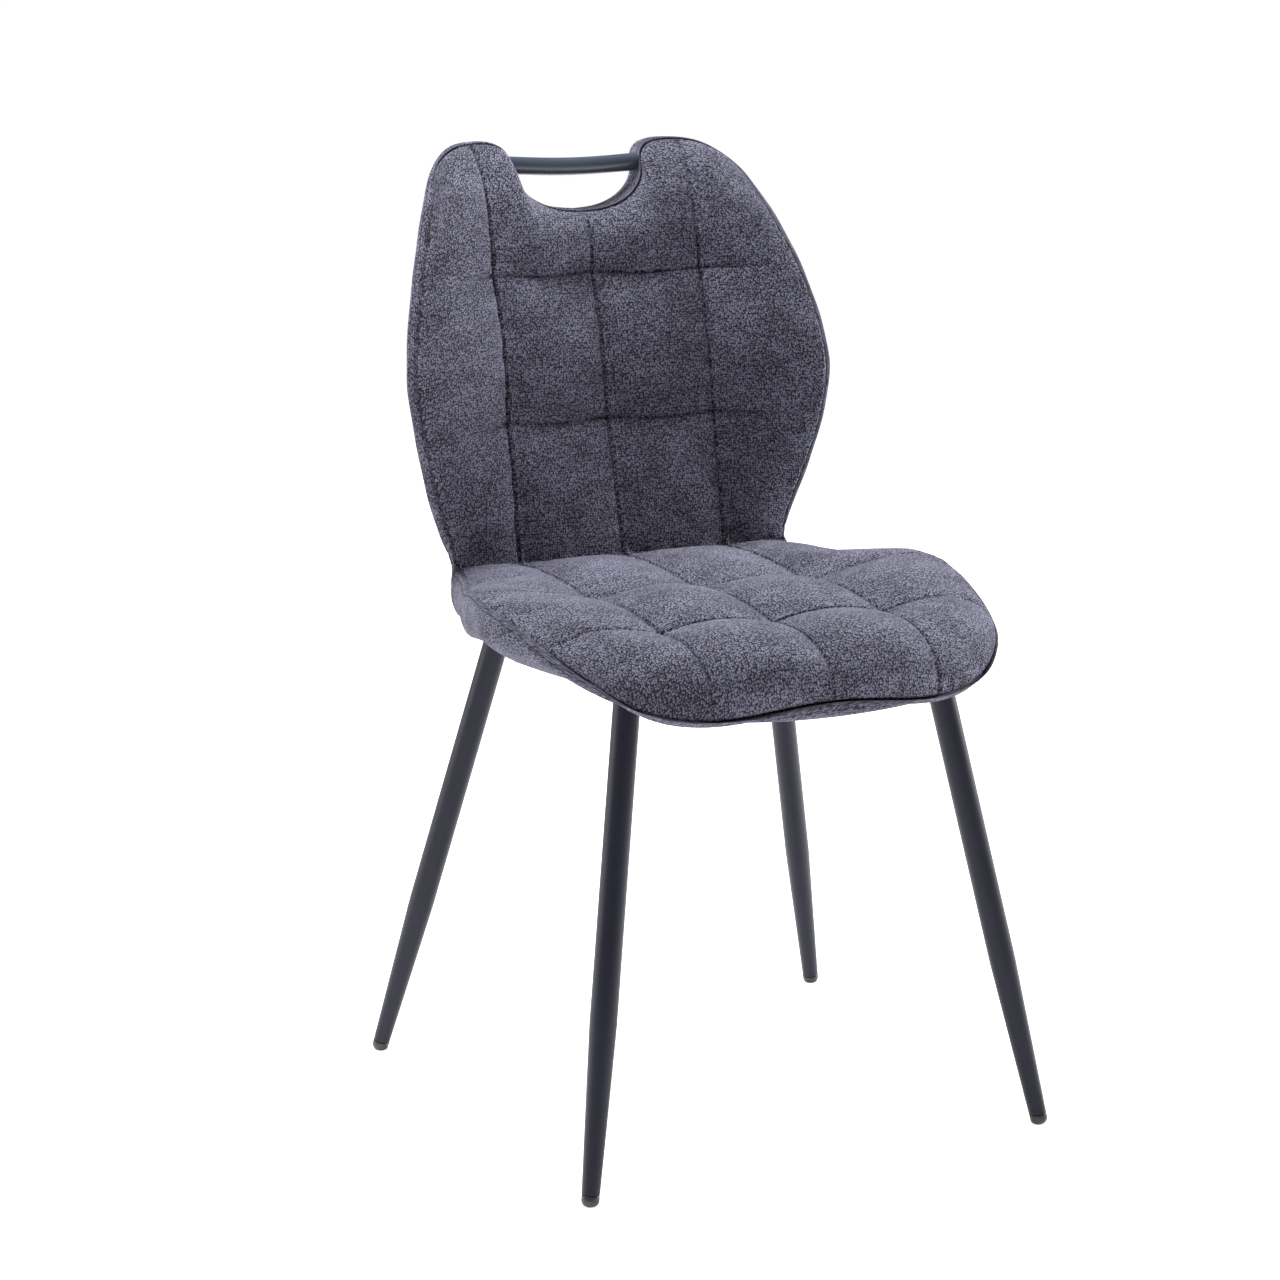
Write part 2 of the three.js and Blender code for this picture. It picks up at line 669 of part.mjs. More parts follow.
function makeBrackets() {
  const half = bracketThickness / 2;
  const lowZ = plateTopZ - half;
  const outerEdge = bracketX + bracketWidth / 2;
  const boardFront = (z) => backRear(outerEdge, z) - rearPanelThickness - gap - backBoardThickness;
  const lowerZ = backBoardBottomZ;
  const chord = (z) => lerp(boardFront(lowerZ), boardFront(bracketTopZ),
    (z - lowerZ) / (bracketTopZ - lowerZ));
  const bow = Math.max(...[0.25, 0.5, 0.75].map((t) => lerp(lowerZ, bracketTopZ, t))
    .map((z) => chord(z) - boardFront(z)), 0);
  const standOff = half + bracketStandOff + bow;
  const lower = new THREE.Vector2(boardFront(lowerZ) - standOff, lowerZ);
  const upper = new THREE.Vector2(boardFront(bracketTopZ) - standOff, bracketTopZ);
  const rise = upper.clone().sub(lower).normalize();
  const cornerY = lower.x - rise.x * ((lower.y - lowZ) / rise.y);
  const corner = new THREE.Vector2(cornerY, lowZ);
  const bend = bracketBendRadius + half;
  const bendStart = new THREE.Vector2(cornerY - bend, lowZ);
  const bendEnd = corner.clone().addScaledVector(rise, bend);
  const path = [
    new THREE.Vector2(bracketFrontY, lowZ),
    ...new THREE.QuadraticBezierCurve(bendStart, corner, bendEnd).getPoints(5),
    upper,
  ];
  const intoBoard = new THREE.Vector3(0, rise.y, -rise.x);
  const backBoltLength = gap + bracketThickness + standOff - half
    + backBoardThickness - boltTipCover;

  for (const [sideName, sign] of sides) {
    const bar = (thickness, width) => {
      const flat = new THREE.ExtrudeGeometry(new THREE.Shape(barOutline(path, thickness)), {
        depth: width,
        bevelEnabled: false,
      });
      const turn = new THREE.Matrix4().makeBasis(
        new THREE.Vector3(0, 1, 0), new THREE.Vector3(0, 0, 1), new THREE.Vector3(1, 0, 0));
      flat.applyMatrix4(turn);
      flat.translate(sign * bracketX - width / 2, 0, 0);
      return solid(flat);
    };
    const holes = [];
    bracketSeatBoltY.forEach((y, i) => {
      const place = new THREE.Vector3(sign * bracketX, y, lowZ - half - gap);
      holes.push(placeFastener(`bracket_seat_bolt_${sideName}_${i + 1}`, place, upAxis,
        [boltDiameter, boltTipZ - place.z, boltHeadDiameter, boltHeadHeight],
        ['lining', 'seatBoard']));
    });
    bracketBackBoltZ.forEach((z, i) => {
      const t = (z - lower.y) / rise.y;
      const middle = new THREE.Vector3(sign * bracketX, lower.x + rise.x * t, z);
      const place = middle.addScaledVector(intoBoard, -(half + gap));
      holes.push(placeFastener(`bracket_back_bolt_${sideName}_${i + 1}`, place, intoBoard,
        [boltDiameter, backBoltLength, boltHeadDiameter, boltHeadHeight],
        ['backPad', 'backBoard', 'backPanel']));
    });
    add(`back_bracket_${sideName}`,
      geometryOf(cutAway(bar(bracketThickness, bracketWidth), holes)), blackPowderCoat());
    const clearance = bar(bracketThickness + 2 * gap, bracketWidth + 2 * gap);
    for (const piece of ['seatPad', 'backPad', 'backPanel']) {
      cuts[piece].push(clearance);
    }
  }
}

// ---------------------------------------------------------------- hand rail

const face = (x, z) => backRear(x, z) - rearPanelThickness - gap - backBoardThickness;
const railEndZ = backTopZ - railDrop;
const railBladeZ = railEndZ - railBladeDrop;
const bladeStart = notchHalfWidth + railBladeStart;

// The rail's sections from end to end: round in the middle, pressed flat at both ends to lie
// against the back board.
function railSections(spare) {
  const railY = backRear(notchHalfWidth, railEndZ) - railSetIn;
  const roundHalf = notchHalfWidth + railRoundPast;
  const bladeEnd = notchHalfWidth + railBladeEnd;
  const bladeMiddleX = (bladeStart + bladeEnd) / 2;
  const step = 4;
  const slopeX = (face(bladeMiddleX + step, railBladeZ)
    - face(bladeMiddleX - step, railBladeZ)) / (2 * step);
  const slopeZ = (face(bladeMiddleX, railBladeZ + step)
    - face(bladeMiddleX, railBladeZ - step)) / (2 * step);
  const tall = new THREE.Vector3(0, slopeZ, 1).normalize();
  const along = new THREE.Vector3(1, slopeX, 0).normalize();
  const thin = new THREE.Vector3().crossVectors(tall, along).normalize();
  const middle = new THREE.Vector3(bladeMiddleX, face(bladeMiddleX, railBladeZ), railBladeZ)
    .addScaledVector(thin, -(railBladeThickness / 2 + gap) * Math.sign(thin.y));
  const onBlade = (x) => middle.clone().addScaledVector(along, (x - bladeMiddleX) / along.x);
  const r = railDiameter / 2;
  const sections = [];
  for (const share of [0, 1 / 3, 2 / 3, 1]) {
    const z = railEndZ - railSag * Math.cos((Math.PI / 2) * share);
    const centre = new THREE.Vector3(share * roundHalf, railY, z);
    sections.push({ centre, a: r, b: r, square: 1, flat: 0 });
  }
  const start = onBlade(bladeStart);
  sections.push({
    centre: sections[3].centre.clone().lerp(start, 0.5),
    a: lerp(r, railBladeHeight / 2, 0.5),
    b: lerp(r, railBladeThickness / 2, 0.5),
    square: 0.8,
    flat: 0.5,
  });
  for (const x of [bladeStart, bladeEnd + spare]) {
    sections.push({
      centre: onBlade(x),
      a: railBladeHeight / 2,
      b: railBladeThickness / 2,
      square: 0.45,
      flat: 1,
    });
  }
  return { sections, tall, thin, onBlade };
}

const roundPower = (value, power) => Math.sign(value) * Math.abs(value) ** power;

function railGeometry(spare) {
  const { sections, tall, thin } = railSections(spare);
  const ringPoints = 16;
  const upright = new THREE.Vector3(0, 0, 1);
  const level = new THREE.Vector3(0, 1, 0);
  const rings = [];
  const order = [
    ...sections.slice(1).reverse().map((section) => [section, -1]),
    ...sections.map((section) => [section, 1]),
  ];
  for (const [section, sign] of order) {
    const up = upright.clone().lerp(tall, section.flat).normalize();
    const back = level.clone().lerp(thin.clone().multiplyScalar(Math.sign(thin.y)), section.flat)
      .normalize();
    const ring = [];
    for (let i = 0; i < ringPoints; i += 1) {
      const angle = (2 * Math.PI * i) / ringPoints;
      const point = section.centre.clone()
        .addScaledVector(up, roundPower(Math.sin(angle), section.square) * (section.a + spare))
        .addScaledVector(back, roundPower(Math.cos(angle), section.square) * (section.b + spare));
      ring.push([sign * point.x, point.y, point.z]);
    }
    rings.push(ring);
  }
  const positions = rings.flat(2);
  const index = [];
  for (let i = 0; i < rings.length - 1; i += 1) {
    for (let j = 0; j < ringPoints; j += 1) {
      const next = (j + 1) % ringPoints;
      const a = i * ringPoints + j;
      const b = i * ringPoints + next;
      index.push(a, b, b + ringPoints, a, b + ringPoints, a + ringPoints);
    }
  }
  const last = (rings.length - 1) * ringPoints;
  for (let j = 1; j < ringPoints - 1; j += 1) {
    index.push(0, j + 1, j);
    index.push(last, last + j, last + j + 1);
  }
  const geometry = new THREE.BufferGeometry();
  geometry.setAttribute('position', new THREE.Float32BufferAttribute(positions, 3));
  geometry.setIndex(index);
  return geometry;
}

function makeRail() {
  const { thin, onBlade } = railSections(0);
  const holes = [];
  const depth = railBladeThickness / 2 + gap;
  const screwLength = depth * 2 + backBoardThickness - screwTipCover;
  for (const [sideName, sign] of sides) {
    railScrewInset.map((inset) => bladeStart + inset).forEach((x, i) => {
      const inward = thin.clone().multiplyScalar(Math.sign(thin.y));
      const place = onBlade(x).addScaledVector(inward, -depth);
      place.x *= sign;
      inward.x *= sign;
      holes.push(placeFastener(`rail_screw_${sideName}_${i + 1}`, place, inward,
        [screwDiameter, screwLength, screwHeadDiameter, screwHeadHeight],
        ['backPad', 'backBoard', 'backPanel']));
    });
  }
  add('hand_rail', geometryOf(cutAway(solid(railGeometry(0)), holes)), railPaint());
  const clearance = solid(railGeometry(gap));
  for (const piece of ['backPad', 'backBoard', 'backPanel']) {
    cuts[piece].push(clearance);
  }
}

// ---------------------------------------------------------------- boards, pads and lining

// The seat board; with a spare, the room to cut for it, open below.
function seatBoardBody(spare) {
  const outline = seatOutline(seatBoardSideInset - spare, seatBoardRearInset - spare,
    seatBoardFrontInset - spare, seatRearY - seatBoardRearGap + spare);
  const openBelow = spare > 0 ? seatBoardZ - trimLowZ : 0;
  const layer = seatLayer(
    (x, y) => seatBoardUnderside(y) + seatBoardThickness + spare,
    (x, y) => seatBoardUnderside(y) - openBelow);
  return uprightPrism(outline, trimLowZ, trimHighZ).intersect(layer);
}

function makeSeat() {
  add('seat_board', geometryOf(cutAway(seatBoardBody(0), cuts.seatBoard)), plywood());

  const outline = seatOutline(0, 0, 0, seatRearY);
  const pad = uprightPrism(outline, trimLowZ, trimHighZ)
    .intersect(seatLayer(seatTop, seatUnderside));
  add('seat_pad', geometryOf(cutAway(pad, [seatBoardBody(gap), ...cuts.seatPad])), cover());

  const liningOutline = seatOutline(seatBoardSideInset + liningInset,
    seatBoardRearInset + liningInset, seatBoardFrontInset + seatBoardLipLength + liningFrontGap,
    seatRearY - liningInset);
  const lining = uprightPrism(liningOutline, liningTopZ - liningThickness, liningTopZ);
  add('underside_lining', geometryOf(cutAway(lining, cuts.lining)), liningCloth());
}

function backBoardBody(spare) {
  const outline = backOutline(backBoardInset - spare, backBoardBottomZ - spare, backBoardTuckIn);
  const rear = (x, z) => backRear(x, z) - rearPanelThickness - gap;
  const layer = backLayer(
    (x, z) => rear(x, z) - backBoardThickness - spare,
    (x, z) => rear(x, z) + spare);
  return levelPrism(outline, trimNearY, trimFarY).intersect(layer);
}

function makeBack() {
  add('back_board', geometryOf(cutAway(backBoardBody(0), cuts.backBoard)), plywood());

  const outline = backOutline(0, backBottomZ, 0);
  const panelFront = (x, z) => Math.max(backRear(x, z) - rearPanelThickness, seatRearY + 2 * gap);
  const prism = levelPrism(outline, trimNearY, trimFarY);
  const panel = prism.intersect(backLayer(panelFront, backRear));
  add('back_rear_panel', geometryOf(cutAway(panel, cuts.backPanel)), cover());

  const front = (x, z) => Math.max(backFront(x, z), seatRearY + 2 * gap);
  const pad = prism.intersect(backLayer(front, (x, z) => panelFront(x, z) - gap));
  add('back_pad', geometryOf(cutAway(pad, [backBoardBody(gap), ...cuts.backPad])), cover());
}

makeLegs();
makeBrackets();
makeRail();
makeSeat();
makeBack();

// Stand the chair with the middle of its footprint box on the origin.
const box = new THREE.Box3().setFromObject(chair, true);
chair.position.set(0, -(box.min.y + box.max.y) / 2, -box.min.z);

const group = new THREE.Group();
group.add(chair);

export default group;
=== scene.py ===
# %% [markdown]
# # A quilted dining chair
# The chair is a seat and a back under one upholstered cover, on four tapered steel legs, with
# a steel hand rail across a notch in the back. The load-bearing parts come from the packed
# model as a fixed frame. This lesson dresses them: each soft part is computed as a grid of
# points with numpy, stuffed with a short cloth simulation, and given a woven material.

import math

import bpy
import numpy as np
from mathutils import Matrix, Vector


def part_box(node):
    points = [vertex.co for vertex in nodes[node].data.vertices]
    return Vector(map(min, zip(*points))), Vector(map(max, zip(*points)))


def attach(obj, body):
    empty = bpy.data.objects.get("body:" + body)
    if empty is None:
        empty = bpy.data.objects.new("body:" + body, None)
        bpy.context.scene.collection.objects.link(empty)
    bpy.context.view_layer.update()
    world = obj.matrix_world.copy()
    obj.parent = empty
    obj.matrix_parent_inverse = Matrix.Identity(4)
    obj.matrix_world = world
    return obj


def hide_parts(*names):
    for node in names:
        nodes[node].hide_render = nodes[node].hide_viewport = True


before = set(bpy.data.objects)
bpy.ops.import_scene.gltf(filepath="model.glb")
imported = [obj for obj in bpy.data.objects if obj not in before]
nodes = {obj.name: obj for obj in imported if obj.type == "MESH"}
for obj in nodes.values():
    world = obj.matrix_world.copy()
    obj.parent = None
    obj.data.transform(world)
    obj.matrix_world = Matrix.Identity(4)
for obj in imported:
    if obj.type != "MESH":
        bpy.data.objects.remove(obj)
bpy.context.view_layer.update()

# %% [markdown]
# ## One drawing for the whole chair
# The shapes below are drawn in millimetres, as an upholsterer's drawing would be, with x to
# the sides, y towards the back and z up. Only one number ties the drawing to the frame: how
# far it is slid along y, which is read from the seat's solid.

# %% From the drawing to the frame
MM = 0.001
SEAT_REAR_Y = 180.0
SLIDE_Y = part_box("seat_pad")[1].y - SEAT_REAR_Y * MM
rng = np.random.default_rng(11)


def placed(points):
    """Drawing millimetres to frame metres: scale everything, then slide along y."""
    out = np.asarray(points, float) * MM
    out[..., 1] += SLIDE_Y
    return out


def ease(t):
    """The smooth step 3t^2 - 2t^3, held at 0 below 0 and at 1 above 1."""
    t = np.clip(t, 0.0, 1.0)
    return t * t * (3.0 - 2.0 * t)


def lerp(a, b, t):
    """The point that lies a share t of the way from a to b."""
    return a + (b - a) * t


def unit(vectors):
    """Vectors divided by their own length."""
    return vectors / np.maximum(np.linalg.norm(vectors, axis=-1, keepdims=True), 1e-9)


print("drawing slid along y by", round(SLIDE_Y, 5), "m")

# %% [markdown]
# ## Turning grids into meshes
# Every new piece is one or more rectangular grids of points. Grids that share an edge are
# welded there, so several patches close into one skin. Texture coordinates are kept in metres
# along the cloth, so a weave has its real scale on every piece. An alternative is to bridge
# edge loops by hand, but welding equal points is shorter and never leaves a hole.

# %% Grids to a mesh
WELD = 200.0                      # points nearer than 1/200 mm become one


def grid_faces(rows, columns, start):
    """Corner numbers of the quads between neighbouring rows and columns of a grid."""
    i, j = np.meshgrid(np.arange(rows - 1), np.arange(columns - 1), indexing="ij")
    first = (start + i * columns + j).reshape(-1)
    return np.stack([first, first + 1, first + columns + 1, first + columns], axis=1)


def weld_grids(grids):
    """All points and faces of several grids, with equal points merged and flat faces dropped."""
    points = np.concatenate([g["points"].reshape(-1, 3) for g in grids])
    faces = []
    start = 0
    for g in grids:
        quads = grid_faces(g["points"].shape[0], g["points"].shape[1], start)
        faces.append(quads[:, ::-1] if g.get("flip") else quads)
        start += g["points"].shape[0] * g["points"].shape[1]
    faces = np.concatenate(faces)
    _, first, merged = np.unique(np.round(points * WELD).astype(np.int64), axis=0,
                                 return_index=True, return_inverse=True)
    merged = merged.reshape(-1)
    return points, faces, first, merged


def make_piece(name, grids, material):
    """A mesh object from grids: welds them, turns the faces outwards and keeps the UVs."""
    points, quads, first, merged = weld_grids(grids)
    uv = np.concatenate([g["uv"].reshape(-1, 2) for g in grids])
    corners = merged[quads]
    keep = corners != np.roll(corners, 1, axis=1)
    whole = keep.sum(axis=1)
    quads, corners, keep = quads[whole > 2], corners[whole > 2], keep[whole > 2]
    welded = placed(points[first])
    a, b, c, d = (welded[corners[:, k]] for k in range(4))
    middle = welded.mean(axis=0)
    volume = np.einsum("ij,ij->i", a - middle, np.cross(b - middle, c - middle)).sum()
    volume += np.einsum("ij,ij->i", a - middle, np.cross(c - middle, d - middle)).sum()
    if volume < 0:
        quads, corners, keep = quads[:, ::-1], corners[:, ::-1], keep[:, ::-1]
    loops = corners[keep]
    totals = keep.sum(axis=1)
    starts = np.concatenate([[0], np.cumsum(totals)[:-1]])
    mesh = bpy.data.meshes.new(name)
    mesh.vertices.add(len(welded))
    mesh.vertices.foreach_set("co", welded.astype(np.float32).ravel())
    mesh.loops.add(len(loops))
    mesh.loops.foreach_set("vertex_index", loops.astype(np.int32))
    mesh.polygons.add(len(totals))
    mesh.polygons.foreach_set("loop_start", starts.astype(np.int32))
    mesh.polygons.foreach_set("use_smooth", np.full(len(totals), True))
    layer = mesh.uv_layers.new(name="Cloth")
    layer.data.foreach_set("uv", uv[quads[keep]].astype(np.float32).ravel())
    mesh.update(calc_edges=True)
    mesh.validate()
    piece = bpy.data.objects.new(name, mesh)
    bpy.context.scene.collection.objects.link(piece)
    mesh.materials.append(material)
    print(f"{name}: {len(welded)} points, {len(totals)} faces")
    return piece


def cloth_uv(points):
    """UVs in metres: the distance walked along each row and along each column of a grid."""
    across = np.linalg.norm(np.diff(points, axis=1), axis=2)
    down = np.linalg.norm(np.diff(points, axis=0), axis=2)
    u = np.concatenate([np.zeros((points.shape[0], 1)), np.cumsum(across, axis=1)], axis=1)
    v = np.concatenate([np.zeros((1, points.shape[1])), np.cumsum(down, axis=0)], axis=0)
    u -= u[:, u.shape[1] // 2][:, None]
    return np.stack([u, v], axis=2) * MM


def normals_of(points, facing):
    """Unit normals of a grid: the cross product of its directions, turned to face a way.

    At the rim, where a grid's corner can be squeezed flat, the normals of two cells further
    in are used.
    """
    normal = unit(np.cross(np.gradient(points, axis=1), np.gradient(points, axis=0)))
    rows = np.clip(np.arange(len(normal)), 2, len(normal) - 3)
    columns = np.clip(np.arange(normal.shape[1]), 2, normal.shape[1] - 3)
    normal = normal[rows][:, columns]
    return normal if (normal @ np.array(facing)).mean() > 0 else -normal


# %% [markdown]
# ## Materials
# The cover is a dense charcoal chenille with a violet tint. Seen close, small round tufts stand
# among short light and dark threads. Cloudy patches of painted sheen, as from pile that lies
# different ways, lighten and darken its colour. One node group makes that pattern for every
# piece of the cover. Metal, plastic and wood use a second group, which adds fine mottling to
# paint and grain to the board.

# %% Node helpers


def new_material(name):
    """A material with its Principled shader, ready for sockets to be set."""
    material = bpy.data.materials.new(name)
    material.use_nodes = True
    tree = material.node_tree
    shader = tree.nodes["Principled BSDF"]
    return material, tree, shader


def math_node(tree, operation, a, b, clamp=False):
    """One arithmetic node; a and b are sockets or plain numbers."""
    node = tree.nodes.new("ShaderNodeMath")
    node.operation = operation
    node.use_clamp = clamp
    for socket, value in zip(node.inputs, (a, b)):
        if isinstance(value, (int, float)):
            socket.default_value = value
        else:
            tree.links.new(value, socket)
    return node.outputs[0]


def noise_node(tree, vector, scale, stretch, detail=2.0, roughness=0.5):
    """Noise on a vector that is first stretched, so its spots become threads or streaks."""
    mapping = tree.nodes.new("ShaderNodeMapping")
    mapping.inputs["Scale"].default_value = stretch
    tree.links.new(vector, mapping.inputs["Vector"])
    noise = tree.nodes.new("ShaderNodeTexNoise")
    noise.inputs["Scale"].default_value = scale
    noise.inputs["Detail"].default_value = detail
    noise.inputs["Roughness"].default_value = roughness
    tree.links.new(mapping.outputs[0], noise.inputs["Vector"])
    return noise.outputs["Fac"]


def tuft_node(tree, vector, stretch):
    """Small cells of a surface, as tufts of pile: a random tone for each, and its round top."""
    mapping = tree.nodes.new("ShaderNodeMapping")
    mapping.inputs["Scale"].default_value = stretch
    tree.links.new(vector, mapping.inputs["Vector"])
    cells = tree.nodes.new("ShaderNodeTexVoronoi")
    cells.voronoi_dimensions = "2D"
    cells.inputs["Scale"].default_value = 1.0
    cells.inputs["Randomness"].default_value = 0.75
    tree.links.new(mapping.outputs[0], cells.inputs["Vector"])
    split = tree.nodes.new("ShaderNodeSeparateColor")
    tree.links.new(cells.outputs["Color"], split.inputs[0])
    return split.outputs[0], spread(tree, cells.outputs["Distance"], 0.0, 0.7, 1.0, 0.0)


def spread(tree, value, low, high, to_low=0.0, to_high=1.0):
    """Stretches the range low..high of a value over to_low..to_high."""
    node = tree.nodes.new("ShaderNodeMapRange")
    tree.links.new(value, node.inputs["Value"])
    for name, number in (("From Min", low), ("From Max", high),
                         ("To Min", to_low), ("To Max", to_high)):
        node.inputs[name].default_value = number
    return node.outputs["Result"]


def mixed(tree, factor, first, second):
    """A colour between two colours."""
    node = tree.nodes.new("ShaderNodeMix")
    node.data_type = "RGBA"
    tree.links.new(factor, node.inputs["Factor"])
    for socket, value in ((node.inputs[6], first), (node.inputs[7], second)):
        if isinstance(value, tuple):
            socket.default_value = (*value, 1.0)
        else:
            tree.links.new(value, socket)
    return node.outputs[2]


def bumped(tree, shader, height, distance, strength=1.0):
    """Feeds a height in 0..1 to the shader's normal as relief that many metres deep."""
    bump = tree.nodes.new("ShaderNodeBump")
    bump.inputs["Strength"].default_value = strength
    bump.inputs["Distance"].default_value = distance
    tree.links.new(height, bump.inputs["Height"])
    tree.links.new(bump.outputs[0], shader.inputs["Normal"])


def add_sockets(tree, inputs, outputs):
    """Declares a group's sockets and returns its input and output nodes."""
    for name, kind, value in inputs:
        socket = tree.interface.new_socket(name, in_out="INPUT", socket_type=kind)
        if value is not None:
            socket.default_value = value
    for name, kind in outputs:
        tree.interface.new_socket(name, in_out="OUTPUT", socket_type=kind)
    return tree.nodes.new("NodeGroupInput"), tree.nodes.new("NodeGroupOutput")


# %% The chenille pattern
COLOUR = "NodeSocketColor"
FLOAT = "NodeSocketFloat"
VECTOR = "NodeSocketVector"

chenille = bpy.data.node_groups.new("chenille_weave", "ShaderNodeTree")
weave_in, weave_out = add_sockets(
    chenille,
    [("Cloth", VECTOR, None), ("Dark", COLOUR, (0.03, 0.03, 0.04, 1)),
     ("Light", COLOUR, (0.1, 0.1, 0.12, 1))],
    [("Color", COLOUR), ("Height", FLOAT), ("Roughness", FLOAT)])
cloth = weave_in.outputs["Cloth"]
across = noise_node(chenille, cloth, 1.0, (260.0, 1100.0, 1.0), 2.0, 0.6)
down = noise_node(chenille, cloth, 1.0, (1100.0, 260.0, 1.0), 2.0, 0.6)
# large soft noise, used below for the patches of painted sheen
cloud = noise_node(chenille, cloth, 1.0, (18.0, 30.0, 1.0), 4.0, 0.65)
tone, tops = tuft_node(chenille, cloth, (520.0, 400.0, 1.0))
threads = math_node(chenille, "ADD", across, down)
heather = spread(chenille, threads, 0.8, 1.2, -0.1, 0.1)
# painted sheen: cloudy patches, as from pile lying different ways, make the cover's colour lighter
# and darker
painted_sheen_patches = spread(chenille, cloud, 0.3, 0.7, -0.14, 0.14)
fleck = math_node(chenille, "ADD", spread(chenille, tone, 0.0, 1.0, -0.2, 0.2),
                  spread(chenille, tops, 0.0, 1.0, 0.0, 0.95))
shade = math_node(chenille, "ADD", math_node(chenille, "ADD", heather, painted_sheen_patches), fleck,
                  clamp=True)
shade = math_node(chenille, "POWER", shade, 1.6)
cover_colour = mixed(chenille, shade, weave_in.outputs["Dark"], weave_in.outputs["Light"])
chenille.links.new(cover_colour, weave_out.inputs["Color"])
relief = math_node(chenille, "ADD", math_node(chenille, "MULTIPLY", threads, 0.5),
                   math_node(chenille, "MULTIPLY", tops, 0.5))
chenille.links.new(relief, weave_out.inputs["Height"])
chenille.links.new(spread(chenille, shade, 0.0, 1.0, 1.0, 0.82), weave_out.inputs["Roughness"])

# %% The paint and grain pattern
mottle = bpy.data.node_groups.new("fine_mottle", "ShaderNodeTree")
mottle_in, mottle_out = add_sockets(
    mottle,
    [("Base", COLOUR, (0.02, 0.02, 0.025, 1)), ("Second", COLOUR, (0.03, 0.03, 0.04, 1)),
     ("Stretch", VECTOR, (1.0, 1.0, 1.0)), ("Spot Scale", FLOAT, 900.0)],
    [("Color", COLOUR), ("Height", FLOAT), ("Patches", FLOAT)])
coordinate = mottle.nodes.new("ShaderNodeTexCoord")
scaled = mottle.nodes.new("ShaderNodeVectorMath")
scaled.operation = "MULTIPLY"
mottle.links.new(coordinate.outputs["Object"], scaled.inputs[0])
mottle.links.new(mottle_in.outputs["Stretch"], scaled.inputs[1])
spots = mottle.nodes.new("ShaderNodeTexNoise")
spots.inputs["Detail"].default_value = 3.0
mottle.links.new(scaled.outputs[0], spots.inputs["Vector"])
mottle.links.new(mottle_in.outputs["Spot Scale"], spots.inputs["Scale"])
wide = mottle.nodes.new("ShaderNodeTexNoise")
wide.inputs["Scale"].default_value = 14.0
wide.inputs["Detail"].default_value = 4.0
mottle.links.new(scaled.outputs[0], wide.inputs["Vector"])
tone = math_node(mottle, "MULTIPLY", spread(mottle, spots.outputs["Fac"], 0.3, 0.7), 0.5)
tone = math_node(mottle, "ADD", tone,
                 math_node(mottle, "MULTIPLY", spread(mottle, wide.outputs["Fac"], 0.3, 0.7), 0.5))
mottle.links.new(mixed(mottle, tone, mottle_in.outputs["Base"], mottle_in.outputs["Second"]),
                 mottle_out.inputs["Color"])
mottle.links.new(spots.outputs["Fac"], mottle_out.inputs["Height"])
mottle.links.new(wide.outputs["Fac"], mottle_out.inputs["Patches"])
print("groups:", [g.name for g in bpy.data.node_groups])

# %% Finishes


def use_group(tree, group, values):
    """Places a node group in a material and sets its plain inputs."""
    node = tree.nodes.new("ShaderNodeGroup")
    node.node_tree = group
    for name, value in values.items():
        node.inputs[name].default_value = value
    return node


def cover_material(name, dark, light, depth):
    """Chenille: rough, with a soft sheen from the pile and relief from the threads."""
    material, tree, shader = new_material(name)
    uv = tree.nodes.new("ShaderNodeUVMap")
    uv.uv_map = "Cloth"
    group = use_group(tree, chenille, {"Dark": (*dark, 1.0), "Light": (*light, 1.0)})
    tree.links.new(uv.outputs[0], group.inputs["Cloth"])
    tree.links.new(group.outputs["Color"], shader.inputs["Base Color"])
    tree.links.new(group.outputs["Roughness"], shader.inputs["Roughness"])
    bumped(tree, shader, group.outputs["Height"], depth)
    shader.inputs["Sheen Weight"].default_value = 0.16
    shader.inputs["Sheen Roughness"].default_value = 0.35
    shader.inputs["Sheen Tint"].default_value = (0.75, 0.76, 0.95, 1.0)
    shader.inputs["Specular IOR Level"].default_value = 0.15
    return material


def hard_material(name, base, second, spot_scale=900.0, stretch=(1.0, 1.0, 1.0), metallic=0.0,
                  roughness=(0.4, 0.5), depth=0.00004, coat=0.0):
    """Painted, plated, moulded or wooden finishes, which differ in colour, grain and gloss."""
    material, tree, shader = new_material(name)
    group = use_group(tree, mottle, {"Base": (*base, 1.0), "Second": (*second, 1.0),
                                     "Stretch": stretch, "Spot Scale": spot_scale})
    tree.links.new(group.outputs["Color"], shader.inputs["Base Color"])
    rough = spread(tree, group.outputs["Patches"], 0.3, 0.7, *roughness)
    tree.links.new(rough, shader.inputs["Roughness"])
    bumped(tree, shader, group.outputs["Height"], depth)
    shader.inputs["Metallic"].default_value = metallic
    shader.inputs["Coat Weight"].default_value = coat
    shader.inputs["Coat Roughness"].default_value = 0.3
    return material


cover_cloth = cover_material("charcoal_chenille", (0.016, 0.0155, 0.022),
                             (0.25, 0.245, 0.335), 0.0008)
seam_thread = hard_material("seam_thread", (0.012, 0.012, 0.016), (0.03, 0.03, 0.038), 1500.0,
                            roughness=(0.7, 0.9))
leg_paint = hard_material("black_powder_coat", (0.009, 0.009, 0.018), (0.014, 0.014, 0.026),
                          1400.0, roughness=(0.38, 0.46), depth=0.00006)
leg_paint.node_tree.nodes["Principled BSDF"].inputs["Specular IOR Level"].default_value = 0.22
rail_paint = hard_material("blue_black_enamel", (0.03, 0.037, 0.055), (0.038, 0.047, 0.068),
                           1100.0, roughness=(0.24, 0.3), depth=0.00002, coat=0.3)
glide_plastic = hard_material("black_moulded_plastic", (0.012, 0.012, 0.013),
                              (0.02, 0.02, 0.021), 700.0, roughness=(0.3, 0.42))
zinc = hard_material("zinc_plate", (0.46, 0.46, 0.44), (0.58, 0.58, 0.55), 500.0, metallic=1.0,
                     roughness=(0.28, 0.42), depth=0.00003)
